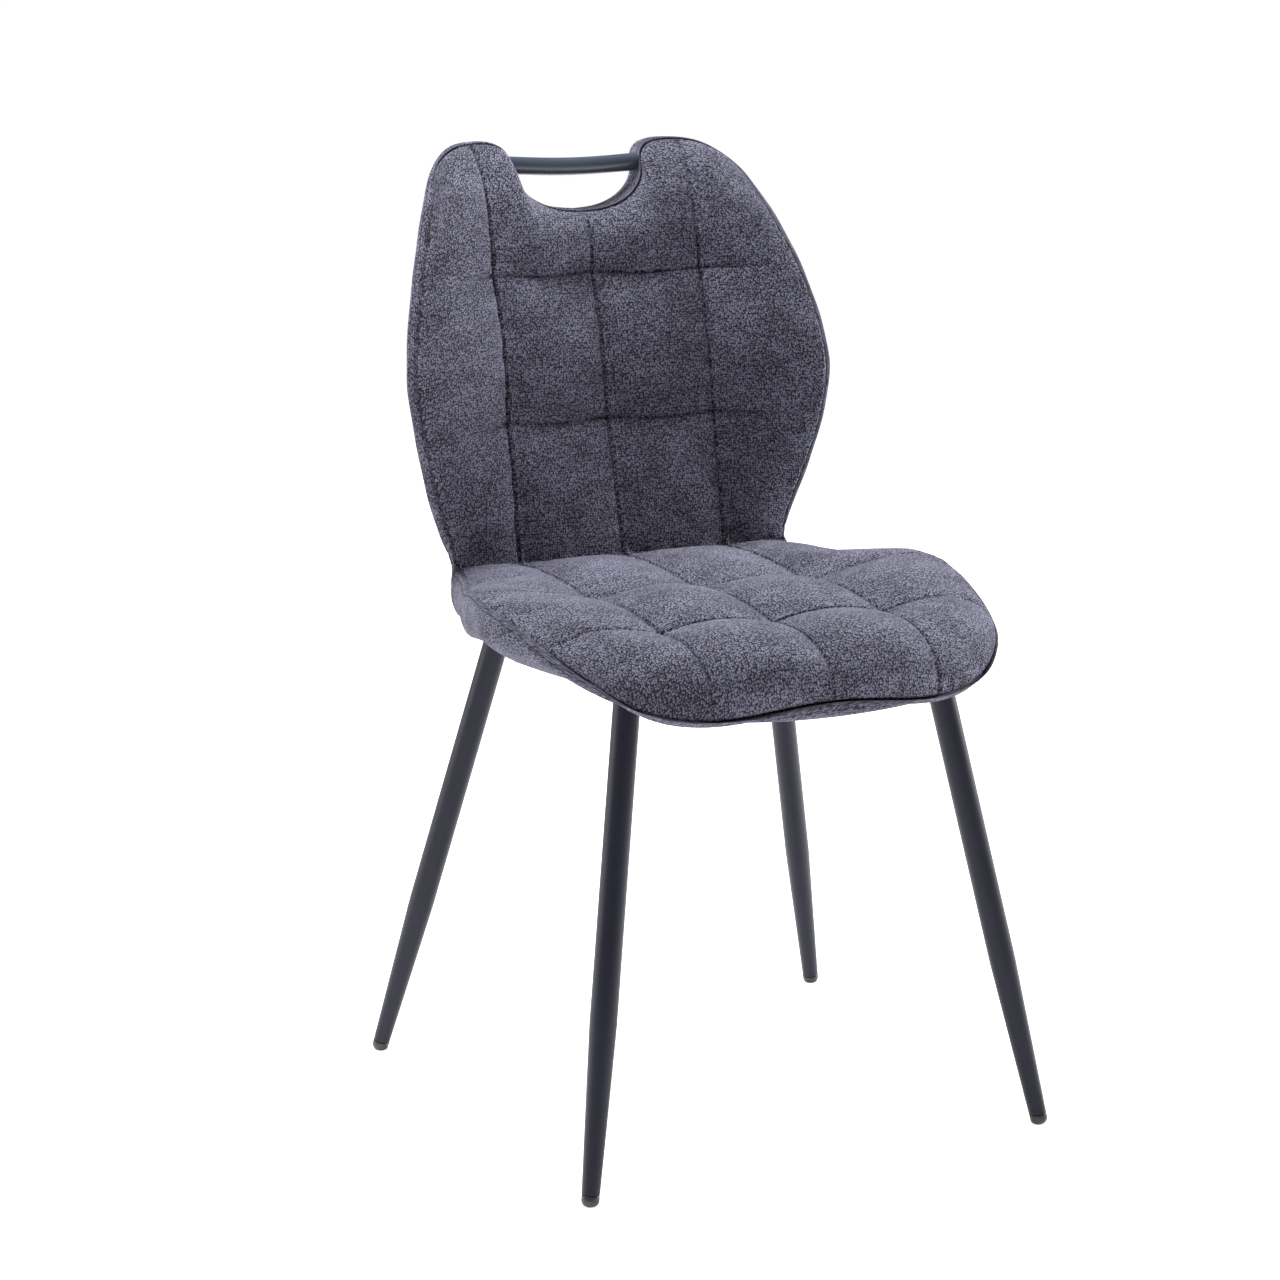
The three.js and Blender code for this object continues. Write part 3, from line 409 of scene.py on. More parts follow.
plywood = hard_material("beech_plywood", (0.42, 0.29, 0.17), (0.6, 0.45, 0.29), 500.0,
                        (0.12, 1.0, 3.0), roughness=(0.55, 0.7), depth=0.00015)
lining = hard_material("black_bonded_lining", (0.012, 0.012, 0.013), (0.03, 0.03, 0.032),
                       1600.0, roughness=(0.85, 0.95), depth=0.0002)
print("materials:", len(bpy.data.materials))

FINISH = {"underside_lining": lining, "seat_board": plywood, "back_board": plywood}
for name, node in nodes.items():
    finish = FINISH.get(name)
    if finish is None:
        finish = leg_paint if name.startswith(("leg_plate", "back_bracket")) else zinc
    node.data.materials.clear()
    node.data.materials.append(finish)

# %% [markdown]
# ## The lines of the seat
# The seat is sewn from twelve panels: four across and three from the crease to the front roll.
# So the drawing starts with the lines between panels, as curves in space, and every panel is
# then filled between its four lines. The edge seam is high at the sides, like the rim of a
# saddle, and falls in one sweep round the rounded front corners.

# %% Seat lines
COLUMN_X = 115.0                  # the seams that run from back to front
SIDE_ROWS = (178.0, -9.0, -132.0, -185.0)     # where the cross seams meet the edge seam
SEAT_BOW_HALF = 239.0             # half the width at the middle cross seam
FAR_OUT = 1000.0                  # an x outside the chair, where the edge seam has no wave
SEAT_CROSSING_Z = (498.0, 490.0, 486.5)       # heights of the seams' crossings, rear to front
CREASE_Y = 178.0                  # the cover ends here, in the crease under the back
WIDEST_Y = -35.0
FRONT_Y = -247.0
SEAT_HALF = 243.0                 # half the width, at the widest place
SEAT_REAR_HALF = 180.0            # and at the crease
SIDE_FULLNESS = 5.0               # the sides swell by this between those two
FRONT_TAPER = 0.175               # the sides draw in by this share towards the front
TAPER_POWER = 1.3
CORNER_POWER = 7                  # how square the front corners are
CORNER_ROUND = 0.476              # and how round they end
SEAM_TURN_Y = 7.0                 # the edge seam is highest here
SEAM_TOP_Z = 512.0
SEAM_REAR_FALL = 13.0             # it falls this far towards the crease,
SEAM_REAR_LENGTH = 90.0           # over this length
SEAM_FRONT_FALL = 80.0            # and this far towards the front
SEAM_FALL_POWER = 1.7
WAVE_FRONT_Y = -180.0             # in front of this the seam is wavy:
WAVE_MIDDLE = 6.0                 # raised in the middle of the front,
WAVE_LOW = -11.0                  # low at WAVE_X and level again at the corners
WAVE_X = 150.0
WAVE_OUTER_LENGTH = 55.0


def tapered(t):
    """Share of the half width left at a share t of the way to the front."""
    return 1.0 - FRONT_TAPER * t ** TAPER_POWER


def seat_side(y):
    """Half width of the seat: eased in towards the crease, drawn in and rounded in front."""
    y = np.asarray(y, float)
    rear = lerp(SEAT_HALF, SEAT_REAR_HALF, ease((y - WIDEST_Y) / (SEAT_REAR_Y - WIDEST_Y)))
    rear = rear + SIDE_FULLNESS * np.sin(math.pi * np.clip(y / SEAT_REAR_Y, 0.0, 1.0))
    t = np.clip((WIDEST_Y - y) / (WIDEST_Y - FRONT_Y), 0.0, 1.0)
    front = SEAT_HALF * tapered(t) * (1.0 - t ** CORNER_POWER) ** CORNER_ROUND
    return np.where(y > WIDEST_Y, rear, front)


def edge_height(x, y):
    """Height of the edge seam: level, raised at the sides, and swept down in front."""
    forward = np.clip(SEAM_TURN_Y - y, 0.0, None) / (SEAM_TURN_Y - FRONT_Y)
    fall = SEAM_FRONT_FALL * forward ** SEAM_FALL_POWER
    to_low = np.sin(math.pi / 2 * np.clip(np.abs(x) / WAVE_X, 0.0, 1.0)) ** 2
    inner = WAVE_MIDDLE - (WAVE_MIDDLE - WAVE_LOW) * to_low
    past_low = np.clip((np.abs(x) - WAVE_X) / WAVE_OUTER_LENGTH, 0.0, 1.0)
    outer = WAVE_LOW * (1.0 - past_low ** 2)
    wave = np.where(y < WAVE_FRONT_Y, np.where(np.abs(x) < WAVE_X, inner, outer), 0.0)
    rear_fall = SEAM_REAR_FALL * ease((y - SEAM_TURN_Y) / SEAM_REAR_LENGTH)
    return SEAM_TOP_Z - rear_fall - fall + wave


def seat_side_curve(y):
    """Points of the right edge seam at the given distances along the seat."""
    x = seat_side(y)
    return np.stack([x, y, edge_height(FAR_OUT, y)], axis=-1)


def even_along(points, shares):
    """Points at given shares of a curve's length, from a dense polyline."""
    step = np.linalg.norm(np.diff(points, axis=0), axis=1)
    walked = np.concatenate([[0.0], np.cumsum(step)])
    return np.stack([np.interp(shares * walked[-1], walked, points[:, k])
                     for k in range(3)], axis=-1)


def seat_front_arc():
    """The front half of the outline, right half, as an angle's sweep from side to middle."""
    angle = np.linspace(0.0, math.pi / 2, 1200)
    t = np.sin(angle) ** (2.0 / CORNER_POWER)
    x = SEAT_HALF * tapered(t) * np.cos(angle) ** (2.0 * CORNER_ROUND)
    y = WIDEST_Y + (FRONT_Y - WIDEST_Y) * t
    return np.stack([x, y, edge_height(x, y)], axis=-1)


front_arc = seat_front_arc()
from_corner = front_arc[front_arc[:, 1] <= SIDE_ROWS[3]]
corner_line = from_corner[from_corner[:, 0] >= COLUMN_X]
front_line = from_corner[from_corner[:, 0] <= COLUMN_X]
front_line = np.concatenate([corner_line[-1:], front_line])


COLUMN_ARCH = (5.0, 8.0, 6.5)     # rise of the lengthwise seams between crossings, by row
CROSS_ARCH = (1.5, 7.0, 8.5)      # and of the cross seams, by line
ARCH_POWER = 0.8
ROLL_POWER = 0.833                # shape of the roll: below 1 it turns down later
ROLL_FULLNESS = 2.0
MIDDLE_SEAM_Y = 15.0              # the middle cross seam, on the centre line,
MIDDLE_SEAM_BOW = 24.0            # which bows forward by this at the sides
RIM_POWER = 1.7                   # how late a cross seam climbs to the edge seam


def cross_seam_y(line, x):
    """Where a cross seam lies along the seat: straight, or bowed as a parabola."""
    bowed = MIDDLE_SEAM_Y - MIDDLE_SEAM_BOW * (x / SEAT_BOW_HALF) ** 2
    return (CREASE_Y + 0.0 * bowed, bowed, SIDE_ROWS[2] + 0.0 * bowed)[line]


def arch(t):
    """The rise of a seam between two crossings, as a share of its highest place."""
    return np.sin(math.pi * t) ** ARCH_POWER


def seat_column(x, row, t):
    """A lengthwise seam between two cross seams; in the front row it follows the roll."""
    top = SEAT_CROSSING_Z
    y_at = [cross_seam_y(line, x) for line in range(3)]
    if row < 2:
        z = lerp(top[row], top[row + 1], t) + COLUMN_ARCH[row] * arch(t)
        return np.stack([np.full_like(t, x), lerp(y_at[row], y_at[row + 1], t), z], axis=-1)
    end = front_line[0] if x > 0.0 else front_line[-1]
    angle = math.pi / 2 * t
    y = y_at[2] + (end[1] - y_at[2]) * np.sin(angle) ** ROLL_POWER
    z = end[2] + (top[2] - end[2]) * np.cos(angle) + COLUMN_ARCH[2] * arch(t)
    y -= ROLL_FULLNESS * np.sin(math.pi * t)
    return np.stack([np.full_like(t, x), y, z], axis=-1)


def seat_cross(line, x0, x1, s):
    """A cross seam between two lengthwise seams, sagging to each crossing."""
    x = lerp(x0, x1, s)
    side = seat_side(SIDE_ROWS[line])
    low = SEAT_CROSSING_Z[line]
    rim = float(edge_height(FAR_OUT, SIDE_ROWS[line]))
    y = cross_seam_y(line, x)
    y = np.where(s >= 1.0 - 1e-9, SIDE_ROWS[line], y) if x1 > COLUMN_X else y
    rise = np.clip((x - COLUMN_X) / (side - COLUMN_X), 0.0, 1.0) ** RIM_POWER
    return np.stack([x, y, lerp(low, rim, rise) + CROSS_ARCH[line] * arch(s)], axis=-1)


print("seat corner at", np.round(corner_line[0], 1), "column ends at", np.round(front_line[0], 1))

# %% [markdown]
# ## Filling a panel between its four seams
# A Coons patch blends four border curves into a surface: the blend of two opposite curves,
# plus the blend of the other two, minus the plane through the corners, which was counted
# twice. The rows of points crowd together near the seams, where the cloth turns sharply.

# %% Panels
CROWDING = 0.62                   # 0 spaces the rows evenly, 1 packs them onto the seams


def crowded(count):
    """Shares 0..1 that are closer together at both ends, by a sine."""
    t = np.linspace(0.0, 1.0, count + 1)
    return t - CROWDING * np.sin(2.0 * math.pi * t) / (2.0 * math.pi)


def coons(rear, front, left, right, s, t):
    """The Coons patch of four curves that share their end points."""
    s = s[None, :, None]
    t = t[:, None, None]
    lengthwise = (1 - t) * rear[None] + t * front[None]
    crosswise = (1 - s) * left[:, None] + s * right[:, None]
    corners = ((1 - s) * (1 - t) * rear[0] + s * (1 - t) * rear[-1]
               + (1 - s) * t * front[0] + s * t * front[-1])
    return lengthwise + crosswise - corners


def seat_panel(column, row, s, t):
    """One panel of the right half: column 0 is inner, 1 outer; rows run to the front."""
    x0, x1 = ((0.0, COLUMN_X), (COLUMN_X, float(seat_side(SIDE_ROWS[row]))))[column]
    x3 = COLUMN_X if column == 0 else float(seat_side(SIDE_ROWS[min(row + 1, 2)]))
    rear = seat_cross(row, x0, x1, s)
    if row < 2:
        front = seat_cross(row + 1, x0, x3, s)
    elif column == 0:
        front = even_along(front_line, 1.0 - s)
    else:
        front = even_along(corner_line, 1.0 - s)
    left = seat_column(x0, row, t)
    if column == 0:
        right = seat_column(x1, row, t)
    else:
        right = seat_side_curve(lerp(SIDE_ROWS[row], SIDE_ROWS[row + 1], t))
    return coons(rear, front, left, right, s, t)


def mirrored_columns(panel_of, rows, s, t):
    """A full sheet, four panels wide: the two right-hand columns and their mirror images."""
    inner = [panel_of(0, row, s, t) for row in range(rows)]
    outer = [panel_of(1, row, s, t) for row in range(rows)]
    half = [np.concatenate([a[:, :-1], b], axis=1) for a, b in zip(inner, outer)]
    sheet = np.concatenate([part[:-1] for part in half[:-1]] + [half[-1]])
    other = sheet[:, :0:-1] * np.array([-1.0, 1.0, 1.0])
    return np.concatenate([other, sheet], axis=1)


def bell(shares, power, skew=1.0):
    """A sine hump over shares 0..1, steeper for a lower power; skew moves its top to 0."""
    return np.sin(math.pi * np.clip(shares, 0.0, 1.0) ** skew).clip(0.0) ** power


def seam_profile(count_s, count_t, rows, power, skew=1.0, fade=0.0):
    """0 on every seam and 1 in the middle of each panel: a hump across times a hump along.

    In the outer columns the hump leans to the inner seam by skew, and the cross seams fade
    out towards the edge by the share fade.
    """
    c = crowded(count_s)
    inner, outer = bell(c, power), bell(c, power, skew)
    across_it = np.concatenate([outer[:0:-1], inner[::-1][:-1], inner[:-1], outer])
    reach = fade * ease(c * 1.6)
    none = np.zeros(count_s)
    reach = np.concatenate([reach[:0:-1], none, none, reach])
    c = crowded(count_t)
    along_it = np.concatenate([bell(c, power)[:-1]] * (rows - 1) + [bell(c, power)])
    whole = np.concatenate([[0.0], np.ones(len(along_it) - 2), [0.0]])
    open_rows = np.ones(len(along_it))
    open_rows[:count_t // 2] = along_it[:count_t // 2]
    open_rows[-(count_t // 2):] = along_it[-(count_t // 2):]
    along_it = lerp(along_it[:, None], (open_rows * whole)[:, None], reach[None])
    return along_it * across_it[None]


# %% [markdown]
# ## Stuffing the panels
# A quilted panel is slack cloth over foam, held down at its seams. Blender's Cloth can do
# that: the seams are pinned, the cloth is made a little too large, and pressure lifts it. The
# simulation runs on a coarse copy of the sheet. How far each coarse point moved is then
# carried to the fine sheet with a smooth cubic interpolation, panel by panel.

# %% Cloth simulation on a coarse sheet
FRAMES = 20


def cubic_weights(coarse, fine):
    """Catmull-Rom weights that carry coarse + 1 values to fine + 1 evenly spread places."""
    at = np.linspace(0.0, coarse, fine + 1)
    i = np.clip(np.floor(at).astype(int), 0, coarse - 1)
    f = at - i
    weights = np.zeros((fine + 1, coarse + 1))
    rows = np.arange(fine + 1)
    near = (-f + 2 * f ** 2 - f ** 3) / 2
    far = (f ** 3 - f ** 2) / 2
    second = (2 - 5 * f ** 2 + 3 * f ** 3) / 2
    third = (f + 4 * f ** 2 - 3 * f ** 3) / 2
    inside = i > 0
    np.add.at(weights, (rows[inside], i[inside] - 1), near[inside])
    np.add.at(weights, (rows[~inside], i[~inside]), 2 * near[~inside])
    np.add.at(weights, (rows[~inside], i[~inside] + 1), -near[~inside])
    np.add.at(weights, (rows, i), second)
    np.add.at(weights, (rows, i + 1), third)
    inside = i < coarse - 1
    np.add.at(weights, (rows[inside], i[inside] + 2), far[inside])
    np.add.at(weights, (rows[~inside], i[~inside] + 1), 2 * far[~inside])
    np.add.at(weights, (rows[~inside], i[~inside]), -far[~inside])
    return weights


def stuffed(name, sheet, rear, pinned):
    """Blows up a closed sheet with Cloth and returns how far each point of it moved.

    Long moves are shortened by a tanh, which leaves short ones as they are.
    """
    grids = [{"points": sheet, "uv": np.zeros(sheet.shape[:2] + (2,))},
             {"points": rear, "uv": np.zeros(rear.shape[:2] + (2,)), "flip": True}]
    piece = make_piece(name, grids, cover_cloth)
    merged = weld_grids(grids)[3]
    free = np.zeros(len(piece.data.vertices), bool)
    free[merged[:pinned.size][~pinned.reshape(-1)]] = True
    group = piece.vertex_groups.new(name="seams")
    group.add([int(k) for k in np.nonzero(~free)[0]], 1.0, "REPLACE")
    cloth_modifier = piece.modifiers.new("stuffing", "CLOTH")
    settings = cloth_modifier.settings
    settings.quality = 6
    settings.mass = 0.35
    settings.tension_stiffness = 18.0
    settings.compression_stiffness = 18.0
    settings.shear_stiffness = 6.0
    settings.bending_stiffness = 0.9
    settings.shrink_min = -SLACK
    settings.use_pressure = True
    settings.uniform_pressure_force = PRESSURE
    settings.vertex_group_mass = "seams"
    settings.pin_stiffness = 1.0
    settings.effector_weights.gravity = 0.0
    cloth_modifier.collision_settings.use_collision = False
    cloth_modifier.point_cache.frame_start = 1
    cloth_modifier.point_cache.frame_end = FRAMES
    before = np.zeros(len(piece.data.vertices) * 3, np.float32)
    piece.data.vertices.foreach_get("co", before)
    for number in range(1, FRAMES + 1):
        bpy.context.scene.frame_set(number)
    shown = piece.evaluated_get(bpy.context.evaluated_depsgraph_get()).to_mesh()
    after = np.zeros_like(before)
    shown.vertices.foreach_get("co", after)
    moved = ((after - before) / MM).reshape(-1, 3)
    length = np.linalg.norm(moved, axis=1, keepdims=True)
    moved *= np.tanh(length / SWELLING_LIMIT) * SWELLING_LIMIT / np.maximum(length, 1e-6)
    mesh = piece.data
    bpy.data.objects.remove(piece)
    bpy.data.meshes.remove(mesh)
    bpy.context.scene.frame_set(1)
    print(name, "moved at most", round(float(np.abs(moved).max()), 1), "mm")
    return moved[merged[:sheet.shape[0] * sheet.shape[1]]].reshape(sheet.shape)


def refined(values, coarse, fine, rows):
    """Carries values on the coarse sheet to the fine one, panel by panel."""
    across = cubic_weights(coarse[0], fine[0])
    along = cubic_weights(coarse[1], fine[1])
    strips = []
    for row in range(rows):
        band = values[row * coarse[1]:(row + 1) * coarse[1] + 1]
        band = np.einsum("ai,ijk->ajk", along, band)
        parts = []
        for column in range(4):
            part = band[:, column * coarse[0]:(column + 1) * coarse[0] + 1]
            part = np.einsum("bj,ajk->abk", across, part)
            parts.append(part if column == 3 else part[:, :-1])
        band = np.concatenate(parts, axis=1)
        strips.append(band if row == rows - 1 else band[:-1])
    return np.concatenate(strips)


SINK_LENGTH = 2.4                 # a hidden side reaches its full depth this many depths in
SINK_POWER = 0.8
PUFF_POWER = 0.8                  # below 1 the puffs are flat on top and steep at the seams
PRESSURE = 4.0
SLACK = 0.004                     # the cloth is this share larger than its panel
SWELLING_LIMIT = 8.0              # no point moves further than about this
FIRST_LIFT = 0.7                  # share of the swelling given before the simulation
COARSE = (19, 23)                 # cells across and along one panel in the simulation
FINE = (56, 62)                   # and in the finished cover
ROWS = 3


def panel_heights(lift, count):
    """Lifts of the panels' middles, eased from one panel to the next over the whole sheet."""
    along_it = np.linspace(0.0, ROWS, ROWS * count[1] + 1)
    across_it = np.linspace(0.0, 4.0, 4 * count[0] + 1)
    columns = np.stack([np.interp(along_it, np.arange(ROWS) + 0.5, lift[:, k])
                        for k in range(4)], axis=1)
    return np.stack([np.interp(across_it, np.arange(4) + 0.5, row) for row in columns])


def quilt(name, panel_of, facing, lift, depth, skew, fade):
    """A stuffed quilted sheet: base surface, first lift, simulated swelling, closed behind."""
    sheets = []
    for count in (COARSE, FINE):
        base = mirrored_columns(panel_of, ROWS, crowded(count[0]), crowded(count[1]))
        normal = normals_of(base, facing)
        puff = seam_profile(count[0], count[1], ROWS, PUFF_POWER, skew, fade)
        sheets.append((base, normal, puff * panel_heights(lift, count)))
    base, normal, puff = sheets[0]
    start = base + normal * (puff * FIRST_LIFT)[..., None]
    rear = closing_sheet(base, normal, depth)
    pinned = puff < 1e-6
    moved = stuffed(name + "_trial", start, rear, pinned)
    base, normal, puff = sheets[1]
    fine = base + normal * (puff * FIRST_LIFT)[..., None] + refined(moved, COARSE, FINE, ROWS)
    return fine, base, normal


def closing_sheet(base, normal, depth):
    """The hidden side of a cushion: the sheet sunk by its distance from the rim, up to depth."""
    rim = np.concatenate([base[0], base[-1], base[:, 0], base[:, -1]])[::3]
    away = np.stack([np.linalg.norm(row[:, None] - rim[None], axis=2).min(1) for row in base])
    sunk = depth * np.clip(away / (SINK_LENGTH * depth), 0.0, 1.0) ** SINK_POWER
    return base - normal * sunk[..., None]


# %% [markdown]
# ## Seams
# A seam pulls the cloth into a sharp crease, and one side of it stands up slightly because the
# seam allowance lies folded under it. Small puckers run away from the stitches. All of that is
# added to the fine sheet after the simulation, as moves along the surface normal.

# %% Creases and puckers
RIDGE_AWAY = 3.4                  # the folded seam allowance lies this far beside the seam
RIDGE_WIDTH = 1.8
PUCKER_HEIGHT = 0.25
PUCKER_AWAY = 5.0
PUCKER_WIDTH = 4.5


def distance_to_seams(points, count_s, count_t):
    """Millimetres from each point to its nearest lengthwise and nearest cross seam."""
    step_s = np.linalg.norm(np.diff(points, axis=1), axis=2)
    walked_s = np.concatenate([np.zeros((points.shape[0], 1)), np.cumsum(step_s, axis=1)], 1)
    step_t = np.linalg.norm(np.diff(points, axis=0), axis=2)
    walked_t = np.concatenate([np.zeros((1, points.shape[1])), np.cumsum(step_t, axis=0)], 0)
    seams_s = walked_s[:, ::count_s]
    seams_t = walked_t[::count_t]
    signed_s = walked_s[:, :, None] - seams_s[:, None, :]
    signed_t = walked_t[:, None, :] - seams_t[None]
    nearest_s = np.take_along_axis(signed_s, np.abs(signed_s).argmin(2)[..., None], 2)[..., 0]
    pick = np.abs(signed_t).argmin(1)[:, None, :]
    nearest_t = np.take_along_axis(signed_t, pick, 1)[:, 0]
    return nearest_s, nearest_t, walked_s, walked_t


def creased(points, normal, depth, width, ridge, fade):
    """Sinks the sheet along its seams by a bell curve and lifts a low ridge on one side.

    The puckers are a product of two sines along the seam, so that no two look alike. Cross
    seams fade out towards the sheet's sides; the rim itself is sunk all the way round.
    """
    ds, dt, along_s, along_t = distance_to_seams(points, *FINE)
    side = np.abs(np.linspace(-2.0, 2.0, points.shape[1]))[None]
    across_strength = 1.0 - fade * ease((side - 1.0) * 1.6) + 0.0 * dt
    rim_rows = np.arange(len(points))
    rim_rows = (rim_rows < FINE[1] // 2) | (rim_rows > len(points) - FINE[1] // 2)
    across_strength = np.where(rim_rows[:, None], 1.0, across_strength)
    move = np.zeros(points.shape[:2])
    for signed, along, strength in ((ds, along_t, 1.0), (dt, along_s, across_strength)):
        groove = -depth * np.exp(-(signed / width) ** 2)
        groove += ridge * np.exp(-((signed - RIDGE_AWAY) / RIDGE_WIDTH) ** 2)
        wave = np.sin(along * 0.62 + 2.0 * np.sin(along * 0.083)) * np.sin(along * 0.19 + 0.7)
        beside = np.exp(-((np.abs(signed) - PUCKER_AWAY) / PUCKER_WIDTH) ** 2)
        groove += PUCKER_HEIGHT * wave * beside
        move += groove * strength
    return points + normal * move[..., None]


def with_lumps(points, normal, size=0.7):
    """Unevenness of hand-filled foam: a few seeded long waves across the sheet."""
    move = np.zeros(points.shape[:2])
    for _ in range(10):
        direction = rng.normal(size=3)
        wavelength = rng.uniform(45.0, 130.0)
        phase = rng.uniform(0.0, 2.0 * math.pi)
        move += np.sin(points @ unit(direction) * (2.0 * math.pi / wavelength) + phase)
    return points + normal * (move * size / 3.0)[..., None]


# %% [markdown]
# ## The seat cushion
# The seat's sheet is quilted, stuffed and creased, then closed by a hidden underside that
# stays clear of the board.

# %% Seat cushion
# How far each panel's middle stands out: rows from the crease to the front, left to right.
SEAT_LIFT = np.array([[8.0, 8.0, 8.0, 7.5], [9.0, 10.5, 10.0, 9.5], [6.5, 10.5, 10.0, 6.5]])
SEAT_DEPTH = 25.0                 # the hidden side lies this far below the seams
UP = (0.0, 0.0, 1.0)
seat_sheet, seat_base, seat_normal = quilt("seat_cushion_cover", seat_panel, UP, SEAT_LIFT,
                                           SEAT_DEPTH, 0.85, 0.55)
seat_sheet = with_lumps(seat_sheet, seat_normal * seam_profile(*FINE, ROWS, 0.5)[..., None])
seat_sheet = creased(seat_sheet, seat_normal, 2.8, 1.7, 0.6, 0.6)
seat_rear = closing_sheet(seat_base, seat_normal, SEAT_DEPTH)


def share_rim(outer, inner):
    """Gives the inner sheet exactly the outer sheet's rim, so that the two weld."""
    inner = inner.copy()
    inner[0], inner[-1] = outer[0], outer[-1]
    inner[:, 0], inner[:, -1] = outer[:, 0], outer[:, -1]
    return inner


seat_rear = share_rim(seat_sheet, seat_rear)
seat_cover = make_piece("seat_cushion_cover", [
    {"points": seat_sheet, "uv": cloth_uv(seat_base)},
    {"points": seat_rear, "uv": cloth_uv(seat_base), "flip": True}], cover_cloth)

# %% [markdown]
# ## The lines of the back
# The back is quilted in the same way. Its outline swells to the widest point, narrows to round
# shoulders, and drops into a notch under the hand rail. The sides curl forwards like wings.

# %% Back lines
BACK_TOP = 903.0
BACK_CORNER_Z = 500.0
REAR_LOW_Z = 452.0                # lower end of the rear face, rolled under to the seat
SHOULDER_Z = 860.0
CROSS_Z = (494.0, 632.0, 775.0)
BACK_DIPS = (2.0, 6.0, 5.5)       # depth of the seams' crossings in the foam, from below
TOP_ROLL = 9.0                    # over the top the cover rolls back this far to its seam
BACK_WIDEST_Z = 680.0
BACK_HALF = 223.4                 # half the width to the edge seam, at the widest place
LOW_NARROWING = 48.8              # narrowing down to the corner
LOW_POWER = 1.6
HIGH_NARROWING = 61.4             # and up, over HIGH_LENGTH
HIGH_LENGTH = 200.0
HIGH_POWER = 1.7
BORDER_OUT = 5.0                  # the border stands outside the edge seam by this
WING_DEPTH = 57.0                 # how far the wings come forward
WING_FULL_Z = 700.0
WING_RISE_POWER = 1.5
WING_FADE = 30.0                  # they lose this much again over WING_FADE_LENGTH
WING_FADE_LENGTH = 180.0
WING_POWER = 2.2                  # how late the front face turns forward, going outwards
REAR_POWER = 3                    # and the rear face
PAST_SEAM = 1.15                  # both curves go on past the seam to this share
FRONT_Y_LOW = 181.5               # front face on the centre line at the corner's height
FRONT_RECLINE = 0.25
CURL_Z = 760.0                    # the front face curls back above this,
CURL = 0.0007                     # by this times the height squared
REAR_Y_LOW = 221.0                # rear face on the centre line at the corner's height
REAR_RECLINE = 0.27
EDGE_THICKNESS = 14.0
CORNER_HEIGHT = 50.0              # the lower end of the rear face is rounded over this


def back_side(z):
    """Half width of the back at the edge seam: widest at one height, narrower both ways."""
    z = np.asarray(z, float)
    down = np.clip(BACK_WIDEST_Z - z, 0, None) / (BACK_WIDEST_Z - BACK_CORNER_Z)
    up = np.clip(z - BACK_WIDEST_Z, 0, None) / HIGH_LENGTH
    low = np.maximum(BACK_HALF - LOW_NARROWING * down ** LOW_POWER, SEAT_REAR_HALF)
    return np.where(z < BACK_WIDEST_Z, low, BACK_HALF - HIGH_NARROWING * up ** HIGH_POWER)


def wing(z):
    """How far the sides curl forwards at a height."""
    share = np.clip((z - BACK_CORNER_Z) / (WING_FULL_Z - BACK_CORNER_Z), 0, 1)
    rise = WING_DEPTH * np.sin(math.pi / 2 * share) ** WING_RISE_POWER
    fade = WING_FADE * ((z - WING_FULL_Z) / WING_FADE_LENGTH) ** 2
    return np.where(z < WING_FULL_Z, rise, WING_DEPTH - fade)


def back_middle(z):
    """Depth of the front face on the centre line: reclined, and curling back at the top."""
    reclined = FRONT_Y_LOW + FRONT_RECLINE * (z - BACK_CORNER_Z)
    return reclined + CURL * np.clip(z - CURL_Z, 0, None) ** 2


def back_front(x, z):
    """Depth of the front face: the centre line less the wing's curl."""
    share = np.minimum(np.abs(x) / back_side(z), PAST_SEAM)
    return back_middle(z) - wing(z) * share ** WING_POWER


def back_rear(x, z):
    """Depth of the rear face, rounded under below the corner height."""
    high = np.maximum(z, BACK_CORNER_Z)
    middle = REAR_Y_LOW + REAR_RECLINE * (high - BACK_CORNER_Z)
    edge = back_middle(high) - wing(high) + EDGE_THICKNESS
    share = np.minimum(np.abs(x) / (back_side(high) + BORDER_OUT), PAST_SEAM)
    y = middle - (middle - edge) * share ** REAR_POWER
    drop = np.clip((BACK_CORNER_Z - z) / CORNER_HEIGHT, 0.0, 1.0)
    return lerp(FRONT_Y_LOW, y, np.sqrt(1.0 - drop ** 2))


def bezier(a, b, c, d, count=120):
    """A cubic curve through a and d, pulled towards b and c."""
    t = np.linspace(0.0, 1.0, count)[:, None]
    a, b, c, d = (np.array(p, float)[None] for p in (a, b, c, d))
    return a * (1 - t) ** 3 + 3 * b * t * (1 - t) ** 2 + 3 * c * t * t * (1 - t) + d * t ** 3


SIDE_POINTS = 400
NOTCH_HALF = 71.0
NOTCH_CORNER_Z = 880.0
NOTCH_Z = 834.0
JOIN_Z = 520.0                    # the border draws in to the seat below this,
JOIN_LENGTH = 30.0                # over this height
UNDER_IN = 9.0                    # and the rolled lower end draws in by this more
CROWN_IN = 18.0                   # the crown lies this far inside the middle of its top
SHOULDER_HANDLE = (13.0, 28.0)    # how far each curve's handles stand from its ends
CROWN_HANDLE = 35.0
NOTCH_ROUND = 0.65                # how far the crown's handle goes towards the notch
NOTCH_HANDLES = (17.0, 30.0)
NOTCH_FLOOR_HANDLE = 39.8


